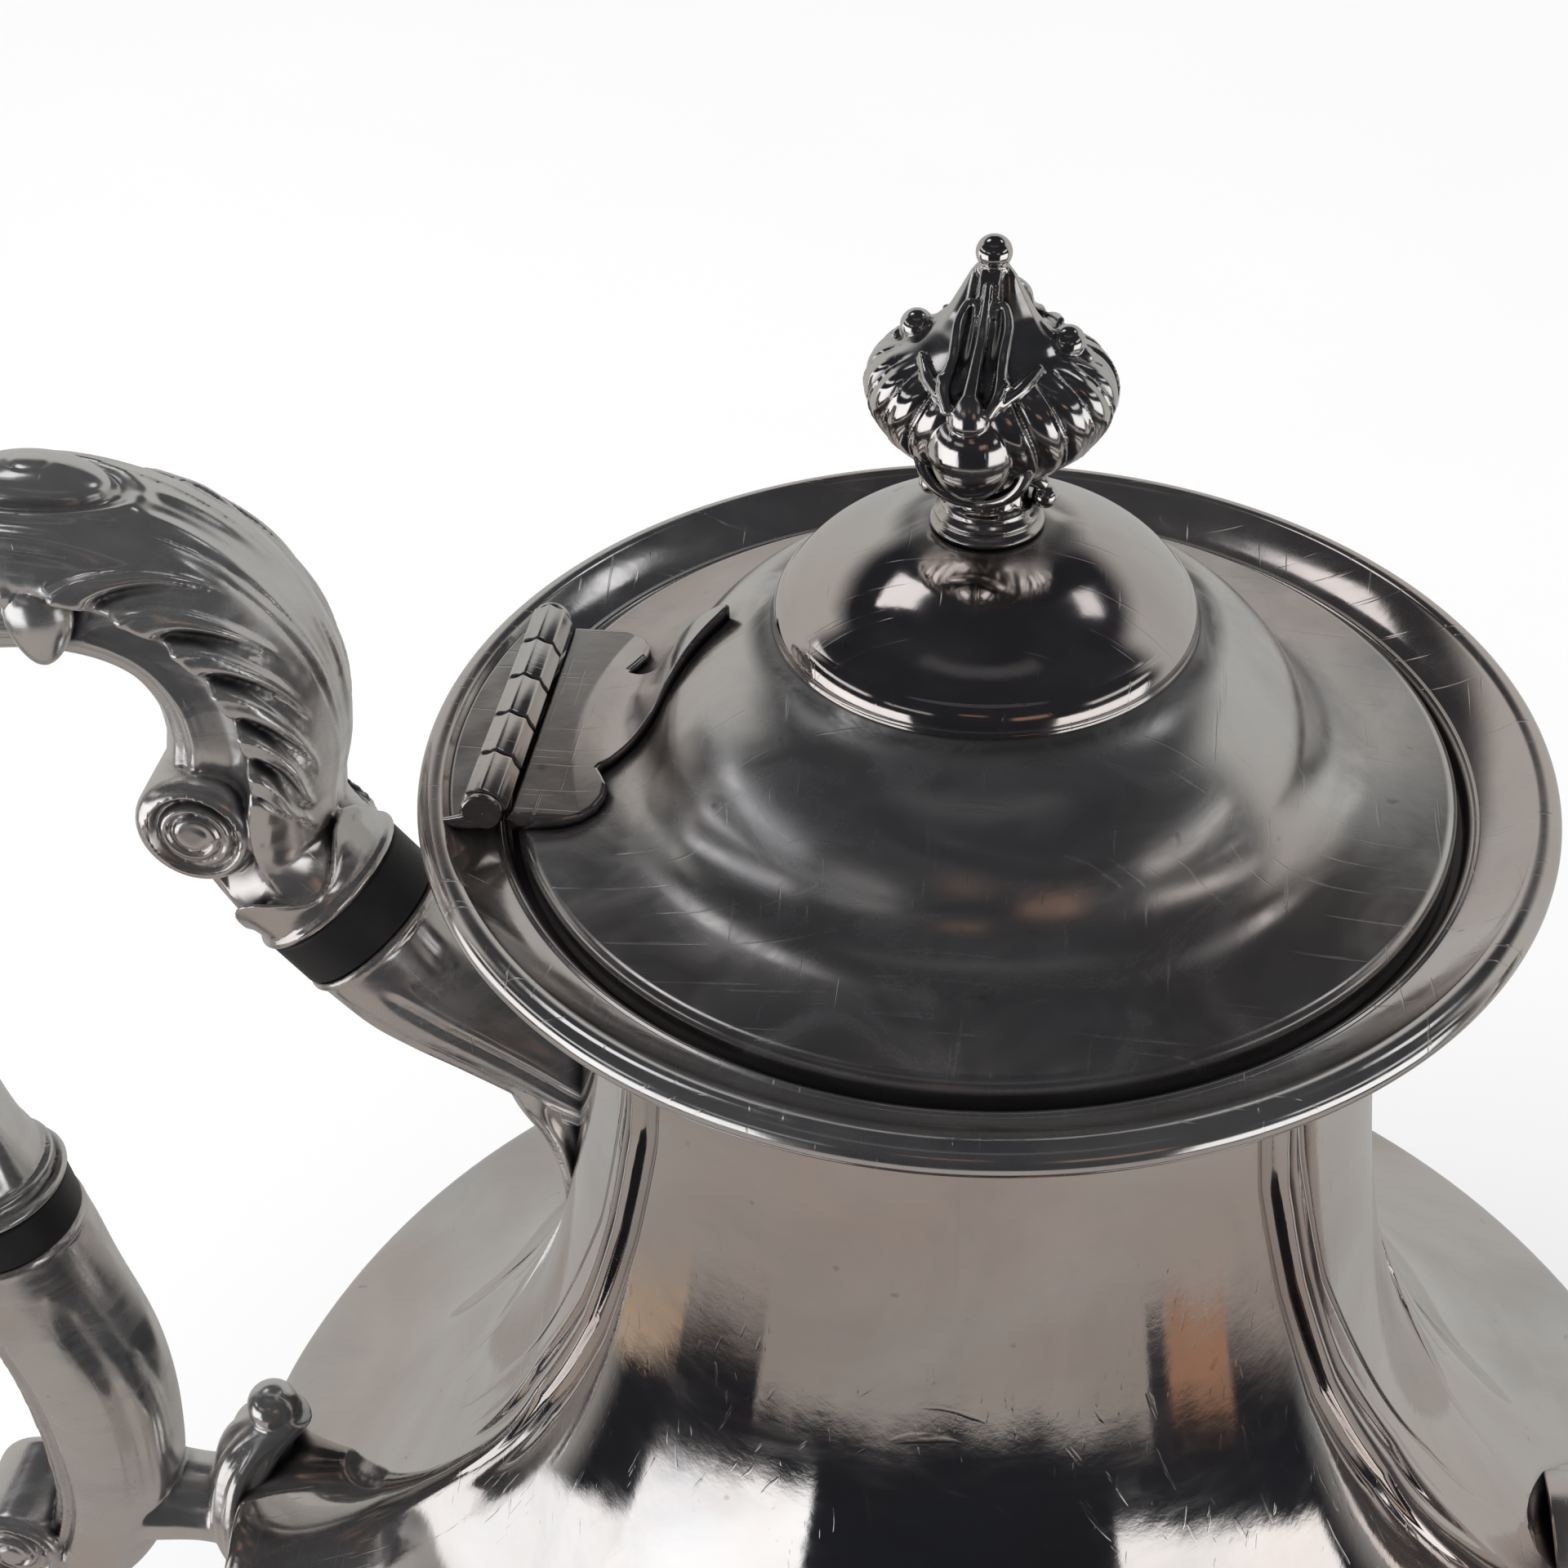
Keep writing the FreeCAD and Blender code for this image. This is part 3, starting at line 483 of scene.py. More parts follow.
def build_crown():
    top = bezier((14.9, 16.2), (13.0, 18.9), (9.0, 21.1), (4.6, 21.75), 40)
    wall = bezier((15.85, 13.75), (15.95, 14.4), (15.75, 15.4), (15.1, 16.0), 14)
    seam = [(15.6, 13.62), (15.95, 13.6), (16.0, 13.8), (15.9, 13.98)]
    under = bezier((5.2, 20.85), (8.8, 20.3), (12.2, 18.3), (13.9, 16.0), 16)
    outline = np.vstack([seam, wall[2:], [(14.98, 16.08)], top, [(1.7, CROWN_TOP), (1.6, CROWN_TOP - 0.1),
                         (1.6, 21.0), (1.8, 20.9)], under, [(14.7, 14.4), (15.0, 13.65)]])
    return lathe("lid_crown_cap", outline, 480)


# ---------------------------------------------------------------- finial
FINIAL_TURN = math.radians(-9)
URN = ((4.1, 0.0), (4.2, 0.35), (3.95, 0.7), (3.75, 0.85), (3.9, 1.2), (3.6, 1.55), (3.4, 1.7),
       (3.45, 2.0), (3.05, 2.35), (2.9, 2.9), (2.95, 3.5), (3.5, 4.3), (4.7, 5.3), (6.1, 6.4),
       (7.4, 7.7), (8.3, 9.2), (8.75, 10.7), (8.55, 12.2), (7.8, 13.4), (6.5, 14.3), (5.0, 15.0),
       (3.85, 15.8), (3.0, 16.8), (2.4, 17.9), (1.85, 19.0), (1.35, 20.0), (0.95, 20.6), (0.8, 20.9))
RIBS_PER_SIDE = 5.0


def finial_urn():
    """Flattened urn with gadroons that rise from the foot and close in on the front leaf."""
    columns = 360
    profile, _ = spline(URN, 340)
    a = full_turn(columns)[None, :]
    from_front = (a + math.pi / 2) % (2 * math.pi)
    folded = np.abs((from_front + math.pi / 2) % math.pi - math.pi / 2)
    r, z = profile[:, :1], profile[:, 1:2]
    zone = window(z, 4.2, 6.0, 13.6, 14.6)
    gather = 0.60 - 0.62 * ((z - 5.0) / 10.0)
    phase = RIBS_PER_SIDE * (folded - gather * 0.8) / (0.5 * math.pi)
    cell = phase % 1.0
    round_rib = np.sqrt(np.maximum(1 - (2 * cell - 1)**2, 0.0))
    lip = 0.35 * hump(cell - 0.86, 0.08)
    height = (0.85 * round_rib + lip - 0.62) * zone * np.clip(r / 6.5, 0.35, 1.15)
    skirt = window(z, 2.3, 2.8, 4.0, 4.8)
    height = height + 0.22 * (np.abs(np.cos(7 * a))**0.7 - 0.5) * skirt
    upper = window(z, 14.4, 15.6, 19.6, 20.6)
    fold = 0.30 * hump(folded * r - 0.55, 0.28) - 0.45 * hump(folded * r - 1.25, 0.38)
    corner = 0.30 * np.cos(4 * a) * np.clip(r / 4.0, 0, 1)
    height = height + (fold + corner) * upper
    rr = r + height
    p = np.stack([rr * np.cos(a), rr * np.sin(a) * (1 - 0.18 * smooth_step(2, 5, z)),
                  z * np.ones_like(a)], -1)
    return capped_mesh("urn", p)


def signed(points, x_sign, y_sign):
    """The same points on another side of the finial."""
    return np.array(points, float) * (x_sign, y_sign, 1)


def finial_side(side):
    """Balls and curls on the flank at x = side; boss, lobe, rib and scrolls on the face at y = side."""
    cup = [(3.75 * math.cos(t) * (1 - 0.1 * math.sin(t)), side * (4.7 + 0.3 * abs(math.cos(t))),
            8.5 + 4.1 * math.sin(t)) for t in np.linspace(math.radians(-205), math.radians(25), 23)]
    shoulder = ((3.0, 0, 16.4), (3.9, 0, 15.2), (5.0, 0, 14.1), (6.3, 0, 14.0), (6.95, 0, 14.6))
    foot = ((2.6, 0, 4.2), (3.5, 0, 4.1), (4.2, 0, 3.5))
    rib = ((0, 6.9, 13.6), (0, 5.0, 15.2), (0, 3.0, 17.0), (0, 1.5, 19.6))
    scroll = ((1.3, 7.3, 12.6), (1.9, 6.3, 13.9), (1.7, 4.4, 15.4), (1.75, 2.9, 17.2), (1.25, 2.0, 18.3),
              (0.7, 2.1, 18.2), (0.65, 2.5, 17.5))
    leaf = ((2.0, 6.6, 13.2), (3.3, 5.2, 14.1), (4.2, 3.4, 14.9))
    parts = [ellipsoid("ball", (side * 5.35, 0, 15.15), (1.2,) * 3),
             cord_tube("shoulder_curl", signed(shoulder, side, 1), [0.5, 0.8, 1.1, 0.8, 0.45]),
             ellipsoid("ball", (side * 4.2, 0, 2.75), (0.95,) * 3),
             cord_tube("foot_curl", signed(foot, side, 1), [0.7, 0.75, 0.5]),
             ellipsoid("boss", (0, side * 5.5, 8.9), (3.1, 2.9, 3.75), 48, 64, -0.12),
             cord_tube("boss_cup", cup, [0.2] + [0.55] * 21 + [0.2], 12, 160),
             ellipsoid("lobe", (0, side * 6.9, 12.5), (1.3, 1.1, 1.7), 32, 40, 0.35),
             cord_tube("rib", signed(rib, 1, side), [0.6, 0.45, 0.36, 0.25])]
    for flank in (-1, 1):
        parts += [cord_tube("scroll", signed(scroll, flank, side), [0.4, 0.45, 0.42, 0.36, 0.3, 0.25, 0.2]),
                  ellipsoid("pearl", (flank * 2.1, side * 5.7, 14.3), (0.5,) * 3, 16, 20),
                  cord_tube("leaf", signed(leaf, flank, side), [0.35, 0.45, 0.25])]
    return parts


def build_finial():
    neck = [(0.85 * math.cos(t), 0.8 * math.sin(t), 20.2) for t in np.linspace(0, 2 * math.pi, 13)]
    parts = [finial_urn(), ellipsoid("ball", (0, 0, 21.25), (1.27, 1.24, 1.22)),
             cord_tube("neck_ring", neck, 0.25)] + finial_side(-1) + finial_side(1)
    finial = cast("lid_finial", parts, 0.12, 1)
    finial.data.transform(Matrix.Rotation(FINIAL_TURN, 4, "Z"))
    finial.data.transform(Matrix.Translation((0, 0, (RIM_Z + CROWN_TOP) * MM)))
    return finial


# ---------------------------------------------------------------- hinge
HINGE = (-36.8, 2.2)
KNUCKLE_R = 1.75
KNUCKLE_LONG = 5.1
KNUCKLE_GAP = 0.05
PIN_R = 0.8
LEAF_HALF = 12.75


def barrel(name, outline, columns, facet_depth=0.0):
    """Closed outline of (radius, y) turned about the hinge line; facet_depth presses in eight facets."""
    r, y, a = spun(outline, columns)
    r = r - facet_depth * np.abs(np.sin(4 * a)) * (r > 1.2)
    return ring_mesh(name, np.stack([r * np.cos(a) + HINGE[0], y, r * np.sin(a) + HINGE[1] + RIM_Z], -1))


def knuckles(numbers):
    shells = []
    for k in numbers:
        low = -LEAF_HALF + KNUCKLE_LONG * k + KNUCKLE_GAP
        high = low + KNUCKLE_LONG - 2 * KNUCKLE_GAP
        sleeve = rounded([(PIN_R + 0.05, low), (KNUCKLE_R + 0.08, low), (KNUCKLE_R + 0.08, high),
                          (PIN_R + 0.05, high)], 0.36)
        shells.append(barrel("knuckle", sleeve, 90, 0.2))
    return shells


def plate(name, start, finish, top, bottom, half=LEAF_HALF, rows=180, columns=60, bevel=0.35):
    """Thin plate between x = start(y) and x = finish(y), with top and bottom as functions of x, y."""
    y = half * np.sin(np.linspace(-math.pi / 2, math.pi / 2, rows))[:, None]
    u = 0.5 - 0.5 * np.cos(np.linspace(0, math.pi, columns))[None, :]
    x = start(y) + (finish(y) - start(y)) * u
    to_side = np.minimum(u, 1 - u) * np.abs(finish(y) - start(y))
    edge = np.minimum(to_side, half - np.abs(y))
    rounding = bevel * (1 - dome(np.clip(bevel - edge, 0, bevel), bevel))
    upper = np.stack([x, y * np.ones_like(x), top(x, y) - rounding], -1)
    lower = np.stack([x, y * np.ones_like(x), bottom(x, y) * np.ones_like(x)], -1)
    loop = np.concatenate([upper, lower[:, ::-1]], 1)
    loop[..., 2] += RIM_Z
    return capped_mesh(name, loop)


def build_pot_leaf():
    def outer_edge(y):
        return -np.sqrt(41.5**2 - y**2)

    def wear(x, y):
        return 0.95 + 0.012 * np.sin(0.9 * y + 0.6) * np.sin(1.1 * x)

    leaf = plate("leaf", outer_edge, lambda y: -38.62 + 0 * y, wear, lambda x, y: -0.9)
    web = plate("web", lambda y: -38.9 + 0 * y, lambda y: -37.4 + 0 * y,
                lambda x, y: 1.0 + 0.9 * smooth_step(-38.9, -37.6, x), lambda x, y: 0.55,
                LEAF_HALF - 0.1, 60, 20, 0.15)
    tip = cord_tube("tip", [(-37.2, -12.6, RIM_Z + 1.1), (-38.6, -12.95, RIM_Z + 0.95),
                            (-40.0, -13.1, RIM_Z + 0.85), (-41.3, -13.0, RIM_Z + 1.1)],
                    [0.75, 0.62, 0.45, 0.12])
    return joined("hinge_pot_plate", [leaf, web, tip] + knuckles((0, 2, 4)))


TONGUE = np.array([(0.0, 15.6), (0.5, 15.2), (1.2, 13.8), (2.2, 11.9), (3.2, 10.2), (4.3, 8.7),
                   (5.3, 7.3), (6.1, 6.15), (6.6, 5.9), (7.3, 6.3), (8.6, 6.95), (10.0, 7.0),
                   (11.2, 6.5), (12.1, 5.5), (12.6, 4.3), (12.75, 3.2)])


def build_lid_leaf():
    """Plate on the brim with a pointed tongue that climbs the bell."""
    def reach(y):
        return -34.95 + np.interp(np.abs(y), TONGUE[:, 0], TONGUE[:, 1])

    def top(x, y):
        radius = np.hypot(x, y)
        climb = smooth_step(29.0, 24.0, radius)
        return np.maximum(1.75, lid_height(radius) + 0.95 + 0.55 * climb)

    def bottom(x, y):
        radius = np.hypot(x, y)
        return np.maximum(0.32, lid_height(radius) - 0.15)

    leaf = plate("leaf", lambda y: -35.0 + 0 * y, reach, top, bottom, rows=260, columns=90, bevel=0.45)
    return joined("hinge_lid_plate", [leaf] + knuckles((1, 3)))


def build_pin():
    outline = rounded([(1e-4, -13.3), (1.55, -13.3), (1.55, -12.72), (PIN_R, -12.7), (PIN_R, 12.7),
                       (1.55, 12.72), (1.55, 13.3), (1e-4, 13.3)], 0.18)
    return barrel("hinge_pin_rod", outline, 64)


# ---------------------------------------------------------------- handle
UPPER = ((-53.6, -19.2), (0.614, -0.789))
LOWER = ((-95.1, -62.0), (0.17, -0.985))
INSULATOR_R = 7.3
INSULATOR_HALF = 2.45
GRIP = ((-59.3, -11.0, 0.90, 0.94), (-59.6, -5.0, 0.97, 0.97), (-58.6, 0.5, 1, 1), (-59.4, 6.0, 1, 1),
        (-62.6, 10.9, 1, 1), (-68.2, 13.8, 1, 1), (-76.0, 14.6, 1, 1), (-84.0, 12.6, 0.97, 0.97),
        (-92.5, 6.5, 0.95, 0.94), (-99.0, -3.5, 0.92, 0.92), (-102.2, -16.0, 0.90, 0.89),
        (-102.0, -30.0, 0.87, 0.85), (-99.3, -44.0, 0.83, 0.82), (-96.6, -54.0, 0.81, 0.82))
GRIP_HALF = (7.8, 7.2)
RIDGE_AT = 0.417
HALF_GIRTH = 24.5
BOSS_X = -73.5
PIN_COVER = 7.35


def face_point(seat, side):
    """Centre of one face of an insulator."""
    (x, z), (ax, az) = seat
    return x + side * INSULATOR_HALF * ax, z + side * INSULATOR_HALF * az


def grip_section(columns):
    half, _ = spline(((0, 7.2), (3.2, 6.9), (6.0, 5.6), (7.6, 3.6), (7.9, 2.2), (7.2, 1.5), (5.6, 0.8),
                      (4.9, -0.6), (5.0, -2.4), (5.1, -3.6), (4.6, -5.4), (2.6, -6.9), (0, -7.2)),
                     columns // 2 + 1)
    full = np.vstack([half, (half[1:-1] * [-1, 1])[::-1]])
    return full / GRIP_HALF


def grip_shape(section, s):
    """Round at both ferrules, ridged and channelled between."""
    ring = oval(len(section))
    mix = window(s, 3.5, 10.0, s[-1] - 9.0, s[-1] - 3.5)
    return section[None] * mix[:, None, None] + ring[None] * (1 - mix[:, None, None])


# Distance along the grip from the boss to the head of each leaflet, and its half width.
LEAFLETS = ((4.6, 1.7), (9.3, 1.8), (13.1, 1.7), (16.9, 1.6), (20.3, 1.45), (23.6, 1.3))


def grip_relief(s, tau, path):
    """Curled lobes along the ridge, long veins above it, the domed boss and its ring."""
    u = tau / RIDGE_AT
    arc = tau * HALF_GIRTH
    high = np.where(path[:, 1] > 5.0, np.abs(path[:, 0] - BOSS_X), 99.0)
    s_boss = s[np.argmin(high), 0]
    run = np.abs(s - s_boss)
    along = np.minimum(s, s[-1, 0] - s)
    ends = smooth_step(2.5, 8.0, along)
    height = np.zeros_like(u * run)
    tail = np.clip((0.97 - u) / 0.52, 0.0, 1.0)
    for middle, half in LEAFLETS:
        width = half * (1 - 0.72 * tail)
        across = (run - middle - 7.5 * tail**1.2) / width
        fade = (1 - tail)**0.8 * (1 - smooth_step(0.98, 1.05, u))
        height = height + 1.15 * dome(across, 1.0) * fade
        height = height + 0.45 * hump(across + 0.55, 0.25) * fade * hump(tail - 0.15, 0.25)
        height = height - 0.80 * hump(across - 1.2, 0.28) * fade
    for offset, depth in ((2.0, 0.20), (9.0, 0.18)):
        line = 0.40 - 0.016 * (run - offset)
        live = window(run, offset, 4.0 + offset, 20.0, 28.0)
        height = height - depth * hump(u - line, 0.02) * live
    shoulder = 0.25 * hump(u - 0.16, 0.06) * window(run, 5.0, 9.0, 34.0, 42.0)
    ridge = 0.30 * hump(u - 1.03, 0.04) * smooth_step(1.5, 4.0, run)
    inner = 0.35 * hump(u - 1.72, 0.05) - 0.25 * hump(u - 1.84, 0.05)
    e = np.sqrt((run / 4.9)**2 + (arc / 3.4)**2)
    boss = 1.6 * dome(e, 1.0) - 0.35 * hump(e - 1.10, 0.09) + 0.35 * hump(e - 1.34, 0.12)
    plug = -0.10 * hump(np.hypot(s - s_boss, arc) - 1.15, 0.14)
    crest = 0.35 * hump(arc - 6.2, 0.6) * hump(run, 6.0) - 0.40 * hump(arc - 7.4, 0.5) * hump(run, 5.0)
    return (height + ridge + inner + shoulder) * ends + boss + plug + crest


def grip_spot(stations, x_want, b, n):
    """A point on the grip's side at the path point nearest x_want on its upper run."""
    path, _ = spline(stations, 400)
    upper = np.where(path[:, 1] > 5.0, np.abs(path[:, 0] - x_want), 99.0)
    k = int(np.argmin(upper))
    t = path[k + 1, :2] - path[k - 1, :2]
    t /= np.linalg.norm(t)
    return np.array([path[k, 0] + t[1] * n, b, path[k, 1] - t[0] * n + RIM_Z]), math.atan2(t[1], t[0])


def calyx(seat, side, length=5.6, lobes=2):
    """Ring of leaf lobes that wraps the end of a casting beside an insulator."""
    centre, axis = seat
    axis = (axis[0] * side, axis[1] * side)
    low = INSULATOR_HALF + 0.02
    outline = [(6.9, low), (7.15, low), (7.35, low + 0.5), (7.15, low + 1.2), (7.25, low + 2.4),
               (7.4, low + 4.0), (7.7, low + length - 0.5), (7.85, low + length), (7.7, low + length + 0.25),
               (7.5, low + length), (7.0, low + 4.0), (6.8, low + 2.4)]
    outline = rounded(outline, 0.3, 4)

    def lobed(r, h, a):
        petal = 0.5 + 0.5 * np.cos(2 * (lobes * a + 0.5))
        share = np.clip((h - low - 1.2) / (length - 1.2), 0, 1.1)
        h = h - share * (1 - petal) * (length - 2.2)
        spread = share * (0.5 * petal - 0.25)
        seam = 0.35 * hump(np.cos(lobes * a + 0.5), 0.12) * share
        return r + spread - seam, h

    return turned_about("calyx", outline, centre, axis, 240, lobed)


def bead_ring(seat, side, lift, thick, radius=7.15):
    outline = [(radius + thick * math.cos(t), side * (INSULATOR_HALF + lift + thick * math.sin(t)))
               for t in full_turn(18)]
    return turned_about("bead", outline, *seat, 160)


def build_grip():
    stations = [(*face_point(UPPER, -1), PIN_COVER, 7.0)]
    stations += [(x, z, w * GRIP_HALF[0], t * GRIP_HALF[1]) for x, z, w, t in GRIP]
    stations += [(*face_point(LOWER, -1), PIN_COVER, 7.0)]
    parts = [strap("body", stations, grip_section(300), 760, grip_relief, grip_shape),
             disc_scroll("volute", (-63.2, -7.2), 5.2, 7.2, 2.4, 1.0, -1.0), calyx(UPPER, -1),
             bead_ring(UPPER, -1, 0.45, 0.45), bead_ring(LOWER, -1, 0.75, 0.62),
             bead_ring(LOWER, -1, 2.6, 0.35, 6.75)]
    for side in (-1, 1):
        spot, lean = grip_spot(stations, -71.6, side * 6.7, -1.6)
        turn = Matrix.Rotation(-lean, 4, "Y")
        parts.append(ellipsoid("hanging_lobe", spot, (2.7, 1.7, 3.9), 36, 44, 0.28, turn))
        spot, lean = grip_spot(stations, -73.6, side * 7.1, 1.4)
        parts.append(ellipsoid("knot", spot, (1.3, 1.0, 1.5), 24, 30, 0.0, turn))
    return cast("grip", parts, 0.21, 1)


def build_insulator(name, seat):
    h = INSULATOR_HALF
    outline = rounded([(1e-4, -h), (7.0, -h), (INSULATOR_R, -h + 0.3), (INSULATOR_R, h - 0.3),
                       (7.0, h), (1e-4, h)], 0.15)
    return turned_about(name, outline, *seat, 160)


# ---------------------------------------------------------------- sockets, spout and feet
def body_core():
    """Solid just inside the outer wall, used to trim castings where they meet the body."""
    wall = inset(body_profile(), 0.5)[::3]
    first, last = wall[0, 1], wall[-1, 1]
    return lathe("core", np.vstack([(1e-4, first), wall, (1e-4, last)]), 180)


def trimmed(obj, core):
    cut = obj.modifiers.new("trim", "BOOLEAN")
    cut.operation = "DIFFERENCE"
    cut.solver = "MANIFOLD"
    cut.object = core
    return baked(obj)


def build_socket(core):
    """Smooth tapering arm that ends on the body in a long pointed leaf."""
    stations = [(*face_point(UPPER, 1), PIN_COVER, 6.9), (-49.3, -24.6, 7.3, 6.5), (-46.0, -27.6, 6.9, 6.0),
                (-42.5, -30.2, 6.5, 5.6), (-38.6, -33.0, 6.2, 5.3), (-34.6, -36.0, 6.0, 5.0),
                (-30.5, -38.5, 5.8, 4.6)]

    def relief(s, tau, path):
        grow = smooth_step(2.0, 7.0, s)
        edge = 0.22 * hump(tau - 0.30, 0.03) - 0.35 * hump(tau - 0.36, 0.035)
        lip = 0.30 * hump(tau - 0.62, 0.04) - 0.35 * hump(tau - 0.55, 0.03)
        return (edge + lip) * grow

    body = strap("body", stations, oval(200), 240, relief)
    leaf_path = [(-38.0, -31.5, 5.6, 4.2), (-37.6, -36.5, 5.9, 3.9), (-36.4, -41.5, 5.0, 3.0),
                 (-36.0, -46.5, 3.6, 2.2), (-36.3, -51.0, 2.0, 1.5), (-37.2, -55.0, 0.6, 0.6)]

    def veins(s, tau, path):
        grow = smooth_step(4.0, 10.0, s)
        return grow * (0.30 * hump(tau - 0.5, 0.05) - 0.25 * hump(tau - 0.40, 0.04)
                       - 0.25 * hump(tau - 0.60, 0.04))

    leaf = strap("leaf", leaf_path, oval(140), 160, veins)
    ring = bead_ring(UPPER, 1, 0.5, 0.45, 7.0)
    return trimmed(cast("grip_socket", [body, leaf, ring], 0.22, 2), core)


def build_bracket(core):
    stations = [(*face_point(LOWER, 1), PIN_COVER, 7.0), (-92.6, -74.0, 7.3, 7.2), (-90.6, -84.0, 7.0, 7.4),
                (-90.3, -95.0, 6.8, 7.0), (-91.8, -106.0, 6.6, 6.4), (-96.5, -115.5, 6.2, 5.4),
                (-104.0, -120.0, 5.8, 4.2), (-110.0, -116.0, 5.4, 3.2)]

    def relief(s, tau, path):
        grow = smooth_step(7.0, 16.0, s)
        ridges = (0.42 * hump(tau - 0.20, 0.018) + 0.38 * hump(tau - 0.27, 0.018)
                  - 0.55 * hump(tau - 0.235, 0.022) - 0.50 * hump(tau - 0.32, 0.03))
        hollow = -0.55 * hump(tau - 0.72, 0.08) * smooth_step(4.0, 10.0, s)
        return ridges * grow + hollow

    stem = [(-93.0, -107.0, 5.6, 5.6), (-88.0, -107.0, 5.2, 5.2), (-82.0, -107.0, 4.7, 4.7),
            (-77.0, -107.0, 5.3, 5.3), (-71.0, -107.0, 6.4, 6.4)]
    mount = [(-69.5, -90.5, 2.0, 2.0), (-73.2, -94.5, 4.0, 3.0), (-75.3, -99.0, 6.0, 3.8),
             (-76.3, -107.0, 7.2, 4.1), (-75.2, -115.0, 5.6, 3.6), (-72.3, -122.0, 2.6, 2.2),
             (-71.0, -125.5, 0.9, 0.9)]

    def ribs(s, tau, path):
        mid = window(s, 3.0, 8.0, 30.0, 37.0)
        return mid * (0.75 * np.abs(np.cos(4.5 * math.pi * tau))**0.7 - 0.35)

    parts = [strap("body", stations, oval(220, 2.25), 420, relief),
             disc_scroll("volute", (-103.2, -112.6), 5.6, 6.3, 2.2, 1.5, 1.0),
             bead_ring(LOWER, 1, 0.55, 0.5, 7.05), strap("stem", stem, oval(120), 120),
             strap("mount", mount, oval(200), 200, ribs),
             ellipsoid("bead", (-71.9, 0, RIM_Z - 90.3), (2.7, 2.6, 3.2), 40, 48, -0.1),
             ellipsoid("cup", (-72.8, 0, RIM_Z - 93.4), (2.9, 3.3, 1.5), 32, 40)]
    return trimmed(cast("grip_bracket", parts, 0.26, 2), core)


SPOUT = ((60, -106, 14, 18), (77, -103, 12.4, 15.6), (86, -93, 10.6, 12), (91.3, -77, 9, 9.8),
         (94.8, -57, 7.8, 8.4), (99, -37, 7, 7.5), (105.5, -19, 6.5, 7), (114, -5, 6.2, 6.8))
SPOUT_WALL = 1.6
SPOUT_ROOT = 60.0
SPOUT_SQUEEZE = 0.833115


def build_spout(core):
    rows, columns = 420, 200
    path, s = spline(SPOUT, rows)
    tangent = directions(path[:, :2])
    ring = oval(columns)
    a = full_turn(columns)[None, :]
    share = (s / s[-1])[:, None]
    flute = 0.5 * np.abs(np.cos(3 * a))**0.6 * (1 - smooth_step(0.30, 0.62, share))
    rim = 0.55 * hump((share - 0.985) * s[-1], 0.8)
    collar = 0.5 * hump((share - 0.60) * s[-1], 0.9) - 0.3 * hump((share - 0.585) * s[-1], 0.5)
    spine = 0.7 * hump((a - math.pi) * 8.0, 1.1) * window(share, 0.2, 0.3, 0.8, 0.95)
    swell = flute + rim + collar + spine

    def wall(offset):
        half = path[:, 2:3] - SPOUT_WALL * offset + (swell if offset == 0 else 0)
        deep = path[:, 3:4] - SPOUT_WALL * offset + (swell if offset == 0 else 0)
        b, n = ring[None, :, 0] * half, ring[None, :, 1] * deep
        x = path[:, :1] - tangent[:, 1:2] * n
        z = path[:, 1:2] + tangent[:, :1] * n
        x = SPOUT_ROOT + SPOUT_SQUEEZE * (x - SPOUT_ROOT)
        return np.stack([x, b, z + RIM_Z], -1)

    shell = ring_mesh("pour_spout", np.concatenate([wall(0), wall(1)[::-1]], 0))
    return trimmed(shell, core)


FOOT = ((54.0, 53.0, 9.5, 6.5), (62.5, 44.0, 8.2, 6.4), (67.4, 33.0, 6.2, 5.4), (67.0, 22.0, 4.8, 4.4),
        (63.6, 13.0, 4.4, 4.0), (64.6, 6.0, 5.2, 3.6))


def build_feet(core):
    """One scrolled foot, copied to the four corners."""
    stations = [(r, z - RIM_Z, w, t) for r, z, w, t in FOOT]

    def relief(s, tau, path):
        fan = (1 - smooth_step(20.0, 34.0, s)) * smooth_step(0.9, 0.5, tau)
        veins = 0.85 * np.abs(np.cos(3.5 * math.pi * tau + 0.03 * s))**0.7 - 0.4
        mid = 0.45 * hump(tau, 0.05)
        edge = 0.4 * hump(tau - 0.52, 0.03) * smooth_step(18.0, 26.0, s)
        return fan * veins + mid + edge

    parts = [strap("leg", stations, oval(160, 2.2), 260, relief)]
    parts.append(disc_scroll("toe", (68.0, 4.25 - RIM_Z), 4.5, 5.6, 1.8, 1.4, 1.0))
    for side in (-1, 1):
        parts.append(ellipsoid("lobe", (61.0, side * 8.4, 47.0), (2.6, 2.2, 4.2), 28, 36))
        parts.append(ellipsoid("lobe", (57.0, side * 9.6, 51.0), (2.2, 1.9, 3.2), 28, 36))
    foot = cast("foot", parts, 0.3, 2)
    for vertex in foot.data.vertices:
        vertex.co.z = max(vertex.co.z, 0.0)
    feet = []
    for name, turn in (("scroll_foot_back_right", 45), ("scroll_foot_back_left", 135),
                       ("scroll_foot_front_left", 225), ("scroll_foot_front_right", 315)):
        copy = linked(name, foot.data.copy())
        copy.data.transform(Matrix.Rotation(math.radians(turn), 4, "Z"))
        copy.data.update()
        feet.append(trimmed(copy, core))
    bpy.data.objects.remove(foot)
    return feet


